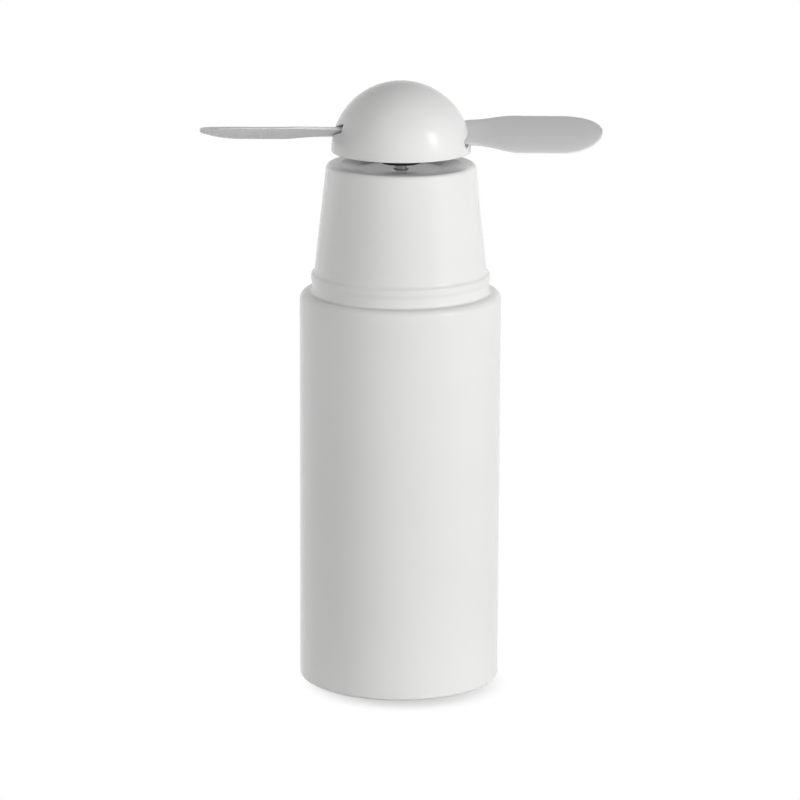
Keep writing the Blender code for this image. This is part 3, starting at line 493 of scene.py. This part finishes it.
def turned_outline(name, outline, centre=(0, 0), around=None):
    """Closed solid of revolution: (r, z) goes to (x + r cos t, y + r sin t, z) about a centre (x, y)."""
    turn = np.linspace(0, math.tau, around or sizes().around, endpoint=False)
    radius, height = outline[:, :1], outline[:, 1:]
    x, y = centre[0] + radius * np.cos(turn), centre[1] + radius * np.sin(turn)
    return weld(surface(name, np.stack([x, y, height + 0 * turn], -1), wrap_along=True))


def turned(name, corners, spacing=4 * MM, steps=8, around=None):
    """Closed solid of revolution about the fan's axis, from corners (r, z, radius), rounded first."""
    return turned_outline(name, fill_gaps(rounded(corners, steps), spacing), around=around)


def box_mesh(name, low, high, matrix=None):
    """Plain box for use as a cutter, from two corners."""
    corner = np.array([[x, y, z] for z in (0, 1) for x, y in ((0, 0), (1, 0), (1, 1), (0, 1))], float)
    low, high = np.array(low, float), np.array(high, float)
    points = low + corner * (high - low)
    faces = [(0, 3, 2, 1), (4, 5, 6, 7), (0, 1, 5, 4), (1, 2, 6, 5), (2, 3, 7, 6), (3, 0, 4, 7)]
    mesh = bpy.data.meshes.new(name)
    mesh.from_pydata(points.tolist(), [], faces)
    if matrix is not None:
        mesh.transform(matrix)
    return place_object(name, mesh)


def apply_modifiers(item):
    """Replace the mesh by what its modifiers make of it."""
    bpy.context.view_layer.update()
    result = bpy.data.meshes.new_from_object(item.evaluated_get(bpy.context.evaluated_depsgraph_get()))
    item.modifiers.clear()
    item.data = result


def carve(item, *tools):
    """Cut the tools out of the piece and remove them."""
    for tool in tools:
        step = item.modifiers.new(tool.name, "BOOLEAN")
        step.object = tool
        step.operation = "DIFFERENCE"
        step.solver = "EXACT"
    apply_modifiers(item)
    for tool in tools:
        bpy.data.objects.remove(tool, do_unlink=True)


def merge(name, *items):
    """One object that holds several closed shells."""
    work = bmesh.new()
    for item in items:
        work.from_mesh(item.data)
        bpy.data.objects.remove(item, do_unlink=True)
    mesh = bpy.data.meshes.new(name)
    work.to_mesh(mesh)
    work.free()
    return place_object(name, mesh)


def soften(item, width, segments=2, angle=40):
    """Bevel every sharp edge by a small width."""
    step = item.modifiers.new("soften", "BEVEL")
    step.width = width
    step.segments = segments
    step.limit_method = "ANGLE"
    step.angle_limit = math.radians(angle)
    step.use_clamp_overlap = True
    apply_modifiers(item)


def dress(item, body, nodes, slot, finish=None, sharp=32):
    """Shade, paint and hang a finished piece on its body, in place of its nodes."""
    item.data.shade_smooth()
    item.data.set_sharp_from_angle(angle=math.radians(sharp))
    item.data.materials.clear()
    item.data.materials.append(finishes[finish or slot])
    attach(item, body)
    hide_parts(*nodes)


# Levels of the frame, and sizes of the pieces

shoulder = body_high[2]
foot = body_low[2]
body_radius = body_high[0]
neck_top = neck_high[2]
dome_foot = dome_low[2]
dome_radius = dome_high[0]
blade_level = (blade_low[2] + blade_high[2]) / 2
blade_tip = blade_high[0]
grip_middle = (knob_low[2] + knob_high[2]) / 2
switch_travel = next(j for j in frame["joints"] if j["name"] == "switch_slide")["range_m"][1]

seat_gap = 0.3 * MM
overrun = 1 * MM
hair_edge, crisp_edge, moulded_edge, fine_edge = 0.01 * MM, 0.1 * MM, 0.14 * MM, 0.15 * MM
small_edge, soft_edge, round_edge = 0.2 * MM, 0.3 * MM, 0.4 * MM

# Body and bayonet
bore_radius = 16.4 * MM
bore_edge = 0.25 * MM
mouth_radius = 14.9 * MM
ledge_low, ledge_high = 3.1 * MM, 4.4 * MM
ledge_half_angle = math.radians(14)
lug_low, lug_high = 4.7 * MM, 5.9 * MM
lug_half_angle = math.radians(12)
bayonet_count = 3

# Neck: its top, with the dished recess
neck_top_radius = 13.3 * MM
neck_edge = 0.85 * MM
recess_depth = 1.0 * MM
recess_rim = 2.8 * MM
rim_lead, rim_edge = 0.2 * MM, 0.8 * MM
dish_run, dish_radius = 3.4 * MM, 3.0 * MM
floor_thickness = 2.0 * MM
shaft_hole, nose_hole = 1.3 * MM, 3.4 * MM
lip_thickness = 0.6 * MM

# Neck: its foot, with the bead and the collar, and what goes into the body
neck_base_radius = 15.4 * MM
base_gap, base_fillet = 0.15 * MM, 1.0 * MM
bead_top = 3.6 * MM
bead_inset, bead_edge = 0.3 * MM, 0.6 * MM
bead_lift, bead_dip, bead_fillet = 0.5 * MM, 0.2 * MM, 0.8 * MM
collar_radius, collar_top = 15.8 * MM, 1.9 * MM
collar_gap = 0.03 * MM
cove_reach, cove_level, cove_radius = 0.75 * MM, 0.08 * MM, 0.7 * MM
cove_tip = 0.03 * MM
neck_wall, neck_base_wall = 1.2 * MM, 1.5 * MM
spigot_radius, spigot_bore = 14.6 * MM, 13.1 * MM
spigot_fillet, ceiling_fillet = 0.5 * MM, 0.6 * MM
boss_drop = 3.6 * MM
boss_place, boss_radius, boss_hole = 11.2 * MM, 2.3 * MM, 1.1 * MM

# Hub and shaft
shaft_radius = 1.0 * MM
press_bore, press_roof = 1.15 * MM, 0.9 * MM
sleeve_radius = 3.65 * MM
platform_radius, platform_thickness = 10.6 * MM, 0.8 * MM
core_radius, core_height = 6.5 * MM, 6 * MM
peg_radius, peg_height = 2.2 * MM, 2.6 * MM
root_slot_start, root_slot_width = 1.9 * MM, 6.4 * MM

# Dome
dome_wall = 1.3 * MM
dome_centre_rise = 0.08 * MM
skirt_edge, skirt_inner_edge = 0.18 * MM, 0.12 * MM
dome_slot_width = 9.6 * MM
socket_radius, socket_bore = 3.55 * MM, 2.35 * MM
socket_bite = 0.4 * MM

# Blades
blade_start = 2.2 * MM
root_half, throat_half, full_half = 3.2 * MM, 4.8 * MM, 7.2 * MM
throat_reach, full_reach = 12.6 * MM, 21.0 * MM
cup_depth, cup_run = 0.55 * MM, 10 * MM
cup_lift_share, thinning_share, taper_share = 0.35, 0.35, 0.7
oval_order = 3.0

# Thumb slider
slider_plate, slider_half_width = 1.2 * MM, 4.3 * MM
pocket_half_width, pocket_half_length, pocket_floor = 1.5 * MM, 1.8 * MM, 0.3 * MM
grip_half, grip_bite, grip_edge = 2.7 * MM, 0.6 * MM, 0.35 * MM
groove_half_width, groove_depth = 0.38 * MM, 0.5 * MM

# Battery door
door_plate, door_edge = 1.8 * MM, 0.4 * MM
ring_outer, ring_inner = 14.5 * MM, 13.2 * MM
lug_bite = 0.65 * MM
coin_half_length, coin_half_width, coin_depth = 7 * MM, 0.9 * MM, 1 * MM


# Shapes that several pieces share

def eased(share):
    """Smooth step: 3 s squared minus 2 s cubed, for a share s held between 0 and 1."""
    share = np.clip(share, 0, 1)
    return share * share * (3 - 2 * share)


def sphere_arc(radius, middle, low, count):
    """Outline (radius cos t, middle + radius sin t) of a sphere, from the level low up to its top."""
    turn = np.linspace(math.asin((low - middle) / radius), math.pi / 2, count)[:, None]
    arc = np.hstack([radius * np.cos(turn), middle + radius * np.sin(turn)])
    arc[-1, 0] = 0
    return arc


def curved_bar(name, inner, outer, middle, half_angle, low, high, edge=fine_edge, steps=24):
    """Bar bent round the axis: a rounded rectangle in (r, z) carried along an arc and closed at its ends."""
    corners = [(inner, low, edge), (outer, low, edge), (outer, high, edge), (inner, high, edge)]
    section = rounded(corners, steps=3)
    centre = section.mean(0)
    turn = np.linspace(middle - half_angle, middle + half_angle, steps)
    turn = np.concatenate([turn[:1], turn, turn[-1:]])[:, None]
    size = np.ones(steps + 2)
    size[[0, -1]] = 0
    ring = centre + (section - centre) * size[:, None, None]
    radius, height = ring[..., 0], ring[..., 1]
    return weld(surface(name, np.stack([radius * np.cos(turn), radius * np.sin(turn), height], -1)))


def bayonet_bars(name, inner, outer, half_angle, low, high):
    """The bayonet's bars, evenly spaced round the foot."""
    places = [math.tau * i / bayonet_count + math.pi / 2 for i in range(bayonet_count)]
    return [curved_bar(f"{name}_{i}", inner, outer, place, half_angle, low, high)
            for i, place in enumerate(places)]


def blade_place(turn):
    """Place of a blade: pitched about its span at the blade level, then turned about the axis."""
    return (Matrix.Rotation(turn, 4, "Z") @ Matrix.Translation((0, 0, blade_level))
            @ Matrix.Rotation(sizes().blade_pitch, 4, "X"))


def slot_cutters(name, start, end, width):
    """A pitched slot for each blade, with the seat's gap all round."""
    half = sizes().blade_thickness / 2 + seat_gap
    reach = width / 2 + seat_gap
    return [box_mesh(f"{name}_{i}", (start, -reach, -half), (end, reach, half), blade_place(turn))
            for i, turn in enumerate((0, math.pi))]


# Pieces

class FAN_OT_body(bpy.types.Operator):
    """Body: turned shell with a rounded shoulder, the knob's window and the bayonet's ledges"""
    bl_idname = "fan.body"
    bl_label = "Body shell"

    def execute(self, context):
        size = sizes()
        under = shoulder - size.wall
        corners = [(mouth_radius, shoulder, fine_edge), (body_radius, shoulder, size.shoulder_edge),
                   (body_radius, foot, size.foot_edge), (bore_radius, foot, bore_edge),
                   (bore_radius, under, round_edge), (mouth_radius, under, crisp_edge)]
        shell = turned("body", corners, spacing=3 * MM)
        half = grip_half + seat_gap
        window = box_mesh("window", (-half, bore_radius - 2 * overrun, grip_middle - half),
                          (half, body_radius + 2 * overrun, grip_middle + half + switch_travel))
        carve(shell, window)
        soften(shell, moulded_edge)
        bars = bayonet_bars("ledge", mouth_radius, bore_radius + size.wall / 2, ledge_half_angle,
                            ledge_low, ledge_high)
        dress(merge("fan_body", shell, *bars), "housing", ["body_shell"], "white_abs")
        return {"FINISHED"}


class FAN_OT_neck(bpy.types.Operator):
    """Neck: turned cone with a dished top, a bead, a collar and a spigot, and two screw bosses"""
    bl_idname = "fan.neck"
    bl_label = "Neck housing"

    def execute(self, context):
        floor = neck_top - recess_depth
        ceiling = floor - floor_thickness
        lip = floor - lip_thickness
        rim = neck_top_radius - recess_rim
        bead = collar_radius + sizes().bead_rise
        bead_foot = shoulder + collar_top
        base = shoulder + collar_gap
        flare = collar_radius + cove_reach
        low = neck_low[2]
        spigot_foot = low + boss_drop
        recess = [(shaft_hole, floor, small_edge), (rim - dish_run, floor, dish_radius),
                  (rim + rim_lead, neck_top, rim_edge)]
        outside = [(neck_top_radius, neck_top, neck_edge),
                   (neck_base_radius, shoulder + bead_top + base_gap, base_fillet),
                   (bead, shoulder + bead_top - bead_inset, bead_edge),
                   (bead, bead_foot + bead_lift, bead_fillet),
                   (collar_radius, bead_foot - bead_dip, bead_fillet),
                   (collar_radius, base + cove_level, cove_radius),
                   (flare, base + cove_tip, hair_edge), (flare, base, hair_edge)]
        spigot = [(spigot_radius, base, crisp_edge), (spigot_radius, spigot_foot, soft_edge),
                  (spigot_bore, spigot_foot, small_edge), (spigot_bore, base, spigot_fillet)]
        inside = [(neck_base_radius - neck_base_wall, shoulder + bead_top, round_edge),
                  (neck_top_radius - neck_wall, ceiling, ceiling_fillet), (nose_hole, ceiling, crisp_edge),
                  (nose_hole, lip, crisp_edge), (shaft_hole, lip, crisp_edge)]
        shell = turned("neck", recess + outside + spigot + inside, spacing=2.5 * MM)
        top = shoulder - seat_gap
        boss = rounded([(boss_hole, low, crisp_edge), (boss_radius, low, soft_edge),
                        (boss_radius, top, crisp_edge), (boss_hole, top, crisp_edge)], steps=3)
        bosses = [turned_outline(f"boss_{side}", boss, (0, side * boss_place), around=32)
                  for side in (-1, 1)]
        dress(merge("fan_neck", shell, *bosses), "housing", ["neck_housing"], "white_abs")
        return {"FINISHED"}


class FAN_OT_dome(bpy.types.Operator):
    """Dome: hollow hemisphere over a short skirt, with a pitched slot for each blade and an inner socket"""
    bl_idname = "fan.dome"
    bl_label = "Hub dome"

    def execute(self, context):
        skirt = dome_foot + seat_gap
        middle = dome_foot + dome_centre_rise
        inner = dome_radius - dome_wall
        outside = sphere_arc(dome_radius, middle, skirt, 72)[::-1]
        inside = sphere_arc(inner, middle, skirt, 36)
        edge = rounded([(dome_radius, skirt, 0), (dome_radius, dome_foot, skirt_edge),
                        (inner, dome_foot, skirt_inner_edge), (inner, skirt, 0)], steps=4)
        shell = turned_outline("dome", np.vstack([outside, edge[1:-1], inside]))
        slots = slot_cutters("dome_slot", core_radius + overrun, dome_radius + overrun, dome_slot_width)
        carve(shell, *slots)
        soften(shell, crisp_edge)
        low = hub_high[2] - peg_height + seat_gap
        top = middle + inner - socket_bite
        corners = [(socket_bore, low, crisp_edge), (socket_radius, low, small_edge), (socket_radius, top, 0),
                   (socket_bore, top, 0)]
        socket = turned("socket", corners, steps=3, around=48)
        dress(merge("fan_dome", shell, socket), "rotor", ["hub_dome"], "white_abs")
        return {"FINISHED"}


class FAN_OT_hub(bpy.types.Operator):
    """Hub: sleeve on the shaft, platform, core with two pitched slots and a peg for the dome"""
    bl_idname = "fan.hub"
    bl_label = "Blade hub and shaft"

    def execute(self, context):
        low, top = hub_low[2], hub_high[2]
        core_top = top - peg_height
        platform = core_top - core_height
        under = platform - platform_thickness
        roof = core_top - press_roof
        corners = [(0, top, 0), (peg_radius, top, soft_edge), (peg_radius, core_top, crisp_edge),
                   (core_radius, core_top, soft_edge), (core_radius, platform, fine_edge),
                   (platform_radius, platform, small_edge), (platform_radius, under, small_edge),
                   (sleeve_radius, under, soft_edge), (sleeve_radius, low, soft_edge),
                   (press_bore, low, fine_edge), (press_bore, roof, 0), (0, roof, 0)]
        hub = turned("fan_hub", corners, spacing=2 * MM, steps=5, around=96)
        carve(hub, *slot_cutters("root_slot", root_slot_start, core_radius + overrun, root_slot_width))
        dress(hub, "rotor", ["blade_hub"], "black_abs")
        low, top = shaft_low[2], shaft_high[2]
        corners = [(0, low, 0), (shaft_radius, low, fine_edge), (shaft_radius, top, fine_edge), (0, top, 0)]
        shaft = turned("fan_shaft", corners, spacing=3 * MM, steps=3, around=48)
        dress(shaft, "rotor", ["motor_shaft"], "steel", "ground_steel")
        return {"FINISHED"}


class FAN_OT_blades(bpy.types.Operator):
    """Blades: a soft plate with a rounded rim, a waist at the dome, a round tip and a shallow cup"""
    bl_idname = "fan.blades"
    bl_label = "Soft blades"

    def half_width(self, reach):
        """Half width along the span: root tab, an eased rise from throat to full width, and a round tip.

        The tip's half width is the square root of (R squared minus (reach - centre) squared)."""
        share = np.clip((reach - core_radius) / (throat_reach - core_radius), 0, 1)
        width = root_half + (throat_half - root_half) * share
        width += (full_half - throat_half) * eased((reach - throat_reach) / (full_reach - throat_reach))
        over = np.clip(reach - (blade_tip - full_half), 0, full_half)
        return np.where(over > 0, np.sqrt(np.maximum(full_half ** 2 - over ** 2, 0)), width)

    def flattened(self, wave):
        """Sine or cosine raised to 2 over the oval's order, with its sign kept."""
        return np.sign(wave) * np.abs(wave) ** (2 / oval_order)

    def blade(self, name, turn):
        """One blade: at each reach a flat oval of the order 3, cupped by a parabola across it.

        It thins from the throat outwards, and again where the tip gets as narrow as it is thick."""
        span_points, tip_points, round_points = 70, 30, 72
        thickness = sizes().blade_thickness
        start = blade_tip - full_half
        inner = np.linspace(blade_start, start, span_points)
        tip = start + full_half * np.sin(np.linspace(0, math.pi / 2, tip_points))[1:]
        reach = np.concatenate([inner[:1], inner, tip])
        width = self.half_width(reach)
        width[0] = 0
        fade = np.clip((reach - throat_reach) / cup_run, 0, 1)
        thin = thickness / 2 * (1 - thinning_share * fade) * np.minimum(1, width / (thickness * taper_share))
        thin[0] = 0
        cup = cup_depth * eased(fade)
        around = np.linspace(0, math.tau, round_points, endpoint=False)
        y = width[:, None] * self.flattened(np.cos(around))
        bow = cup[:, None] * (cup_lift_share - (y / full_half) ** 2)
        z = thin[:, None] * self.flattened(np.sin(around)) + bow
        item = surface(name, np.stack([reach[:, None] + 0 * y, y, z], -1))
        item.data.transform(blade_place(turn))
        return weld(item)

    def execute(self, context):
        dress(self.blade("fan_blade_right", 0), "rotor", ["blade_right"], "soft_blade", sharp=60)
        dress(self.blade("fan_blade_left", math.pi), "rotor", ["blade_left"], "soft_blade", sharp=60)
        return {"FINISHED"}


class FAN_OT_switch(bpy.types.Operator):
    """Thumb slider: curved plate inside the wall, and a grip with crowned ribs that stands in the window"""
    bl_idname = "fan.switch"
    bl_label = "Switch knob"

    def execute(self, context):
        outer = bore_radius - seat_gap
        inner = outer - slider_plate
        half_angle = math.asin(slider_half_width / outer)
        plate = curved_bar("fan_knob", inner, outer, math.pi / 2, half_angle, knob_low[2], knob_high[2],
                           edge=small_edge, steps=32)
        low = (-pocket_half_width, inner - overrun, grip_middle - pocket_half_length)
        high = (pocket_half_width, outer - pocket_floor, grip_middle + pocket_half_length)
        carve(plate, box_mesh("lever_pocket", low, high))
        grip = self.grip(outer - grip_bite, knob_high[1])
        dress(merge("fan_switch_knob", plate, grip), "switch", ["switch_knob"], "white_abs")
        return {"FINISHED"}

    def grip(self, root, crown):
        """Grip: a grid over its face, with depth = groove depth times a smooth dip at each of three grooves.

        Towards the rim the face falls by the edge radius as a quarter circle; the rim drops to the root."""
        across, along = np.linspace(-1, 1, 64), np.linspace(-1, 1, 180)
        x, z = np.meshgrid(across * grip_half, along * grip_half)
        groove_pitch = grip_half / 2
        dip = np.zeros_like(z)
        for place in (-1, 0, 1):
            dip = np.maximum(dip, 1 - eased(np.abs(z - place * groove_pitch) / groove_half_width))
        inset = np.minimum(np.minimum(grip_half - np.abs(x), grip_half - np.abs(z)), grip_edge)
        fall = grip_edge - np.sqrt(np.maximum(grip_edge ** 2 - (grip_edge - inset) ** 2, 0))
        y = np.sqrt(crown ** 2 - x ** 2) - fall - groove_depth * dip
        face = np.stack([x, y, grip_middle + z], -1)
        skirt = np.stack([x, np.full_like(x, root), grip_middle + z], -1)
        count = x.size
        index = np.arange(count).reshape(x.shape)
        front = np.stack([index[:-1, :-1], index[1:, :-1], index[1:, 1:], index[:-1, 1:]], -1).reshape(-1, 4)
        rim = np.concatenate([index[0, :-1], index[:-1, -1], index[-1, :0:-1], index[:0:-1, 0]])
        ahead = np.roll(rim, -1)
        side = np.stack([rim, ahead, ahead + count, rim + count], -1)
        faces = front.tolist() + side.tolist() + [(rim + count)[::-1].tolist()]
        mesh = bpy.data.meshes.new("grip")
        mesh.from_pydata(np.vstack([face.reshape(-1, 3), skirt.reshape(-1, 3)]).tolist(), [], faces)
        work = bmesh.new()
        work.from_mesh(mesh)
        bmesh.ops.delete(work, geom=[v for v in work.verts if not v.link_faces], context="VERTS")
        work.to_mesh(mesh)
        work.free()
        return weld(place_object("grip", mesh))


class FAN_OT_door(bpy.types.Operator):
    """Battery door: a round cover with a coin slot and a raised rim, and a ring with three lugs inside"""
    bl_idname = "fan.door"
    bl_label = "Battery door"

    def execute(self, context):
        disc = bore_radius - seat_gap
        low, top = door_low[2], door_high[2]
        plate_top = low + door_plate
        corners = [(0, plate_top, 0), (ring_inner, plate_top, small_edge), (ring_inner, top, soft_edge),
                   (ring_outer, top, soft_edge), (ring_outer, plate_top, small_edge),
                   (disc, plate_top, fine_edge), (disc, low, door_edge), (0, low, 0)]
        door = turned("fan_door", corners, spacing=2 * MM)
        slot = box_mesh("coin_slot", (-coin_half_length, -coin_half_width, low - overrun),
                        (coin_half_length, coin_half_width, low + coin_depth))
        carve(door, slot)
        soften(door, moulded_edge)
        bars = bayonet_bars("lug", ring_outer - lug_bite, disc, lug_half_angle, lug_low, lug_high)
        dress(merge("fan_battery_door", door, *bars), "door", ["battery_door"], "white_abs")
        return {"FINISHED"}


class FAN_OT_inside(bpy.types.Operator):
    """Inside: gives every piece of the frame that stays its own finish"""
    bl_idname = "fan.inside"
    bl_label = "Pieces inside"

    def execute(self, context):
        springs = ("negative_spring", "door_spring", "positive_contact", "negative_contact", "door_contact",
                   "switch_wiper")
        special = {"rotor_core": "laminated", **dict.fromkeys(springs, "spring_steel")}
        special.update({f"rotor_winding_{letter}": "winding" for letter in "abc"})
        special.update({f"battery_{side}": f"battery_{side}" for side in ("left", "right")})
        for row in frame["record"]["subparts"]:
            name = row["node"]
            item = bpy.data.objects[name]
            item.data.materials.clear()
            item.data.materials.append(finishes[special.get(name, row["material_slot"])])
        return {"FINISHED"}


class FAN_OT_stage(bpy.types.Operator):
    """Studio: pale floor, white surroundings, soft panels of light and the camera"""
    bl_idname = "fan.stage"
    bl_label = "Studio"

    def execute(self, context):
        self.floor()
        self.world()
        self.lights()
        self.camera()
        context.scene.view_settings.view_transform = "Standard"
        return {"FINISHED"}

    def floor(self):
        """Floor: a pale sheet to the rays that light; where it is seen it is white but for the shadow."""
        reach = 3.0
        shadow_middle = (1.0 * MM, -6.0 * MM, 0)
        shadow_inner, shadow_outer = 10.2 * MM, 19.2 * MM
        pale = (0.86, 0.86, 0.86, 1)
        edge = np.linspace(-reach, reach, 3)
        x, y = np.meshgrid(edge, edge)
        floor = surface("floor", np.stack([x, y, np.full_like(x, cad_low[2])], -1), wrap_around=False)
        material = bpy.data.materials.new("floor")
        nodes = fresh_nodes(material)
        sheet = nodes.add("ShaderNodeBsdfDiffuse", None, {"Color": pale, "Roughness": 0.0})
        shine = nodes.add("ShaderNodeEmission", None, {"Color": WHITE, "Strength": 1.0})
        offset = nodes.add("ShaderNodeVectorMath", {"operation": "SUBTRACT"},
                           {0: nodes.place(), 1: shadow_middle})
        distance = nodes.add("ShaderNodeVectorMath", {"operation": "LENGTH"}, {0: offset}, 1)
        clear = nodes.shown() * distance.step(shadow_inner, shadow_outer)
        mixed = nodes.add("ShaderNodeMixShader", None, {0: clear, 1: sheet, 2: shine})
        nodes.add("ShaderNodeOutputMaterial", None, {"Surface": mixed})
        floor.data.materials.append(material)

    def world(self):
        """World: white where it is seen, straight or mirrored; a grey fill for the rest, darker overhead."""
        around_strength, overhead_strength = 0.28, 0.05
        fade_low, fade_high = 0.1, 0.85
        world = bpy.data.worlds.new("studio")
        bpy.context.scene.world = world
        nodes = fresh_nodes(world)
        fade = nodes.height().step(fade_low, fade_high)
        around, overhead, white = (
            nodes.add("ShaderNodeBackground", None, {"Color": WHITE, "Strength": strength})
            for strength in (around_strength, overhead_strength, 1.0))
        fill = nodes.add("ShaderNodeMixShader", None, {0: fade, 1: around, 2: overhead})
        mixed = nodes.add("ShaderNodeMixShader", None, {0: nodes.shown(), 1: fill, 2: white})
        nodes.add("ShaderNodeOutputWorld", None, {"Surface": mixed})

    def lights(self):
        """Six soft panels that face a point in the fan; the gloss mirrors only the key, as one highlight.

        Each row holds a name, the turn from the front and the rise in degrees, the distance and the two
        sides in metres, the power in watts, and whether the gloss mirrors the panel."""
        aim = Vector((0, 0, 0.06))
        panels = (
            ("key", 58, 24, 1.0, (0.26, 0.36), 2.4, True),
            ("front", 20, 24, 1.2, (1.2, 0.8), 5.8, False),
            ("left", -70, 2, 1.2, (0.6, 0.5), 2.8, False),
            ("right", 62, 5, 1.2, (0.6, 0.5), 4.0, False),
            ("rear", -135, 2, 1.2, (0.8, 0.4), 6.4, False),
            ("rim", 152, 8, 1.2, (0.3, 0.3), 1.2, False),
        )
        for name, turn, rise, distance, (width, height), power, mirrored in panels:
            turn, rise = math.radians(turn), math.radians(rise)
            way = Vector((math.sin(turn) * math.cos(rise), -math.cos(turn) * math.cos(rise), math.sin(rise)))
            data = bpy.data.lights.new(name, "AREA")
            data.shape = "RECTANGLE"
            data.size, data.size_y = width, height
            data.energy = power
            lamp = place_object(name, data)
            lamp.location = aim + way * distance
            lamp.visible_glossy = mirrored
            lamp.rotation_euler = way.to_track_quat("Z", "Y").to_euler()

    def camera(self):
        """Camera: looks down at the fan from the front, through a long lens, with a slight roll."""
        rise, roll = math.radians(13.53), math.radians(0.26)
        distance, target = 0.758, 0.0509
        focal_pixels, frame_pixels = 4214.0, 800
        data = bpy.data.cameras.new("camera")
        data.sensor_width = 36
        data.lens = focal_pixels * data.sensor_width / frame_pixels
        camera = place_object("camera", data)
        camera.location = (0, -distance * math.cos(rise), target + distance * math.sin(rise))
        turn = Matrix.Rotation(math.radians(90) - rise, 4, "X") @ Matrix.Rotation(roll, 4, "Z")
        camera.rotation_euler = turn.to_euler()
        bpy.context.scene.camera = camera


# Panel and registration

pieces = (FAN_OT_body, FAN_OT_neck, FAN_OT_dome, FAN_OT_hub, FAN_OT_blades, FAN_OT_switch, FAN_OT_door,
          FAN_OT_inside, FAN_OT_stage)


class FAN_PT_panel(bpy.types.Panel):
    """Sizes, colours and one button for each piece."""
    bl_idname = "FAN_PT_panel"
    bl_label = "Mini fan"
    bl_space_type = "VIEW_3D"
    bl_region_type = "UI"
    bl_category = "Mini fan"

    def draw(self, context):
        for group in (context.scene.fan_sizes, context.scene.fan_colours):
            for name in group.__annotations__:
                self.layout.prop(group, name)
        for operator in pieces:
            self.layout.operator(operator.bl_idname)


classes = (FanSizes, FanColours, *pieces, FAN_PT_panel)


def register():
    for item in classes:
        bpy.utils.register_class(item)
    bpy.types.Scene.fan_sizes = PointerProperty(type=FanSizes)
    bpy.types.Scene.fan_colours = PointerProperty(type=FanColours)


def unregister():
    del bpy.types.Scene.fan_colours
    del bpy.types.Scene.fan_sizes
    for item in reversed(classes):
        bpy.utils.unregister_class(item)


def main():
    """Registers the classes, makes the finishes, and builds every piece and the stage."""
    register()
    make_finishes()
    for operator in pieces:
        group, name = operator.bl_idname.split(".")
        getattr(getattr(bpy.ops, group), name)()


if __name__ == "__main__":
    main()
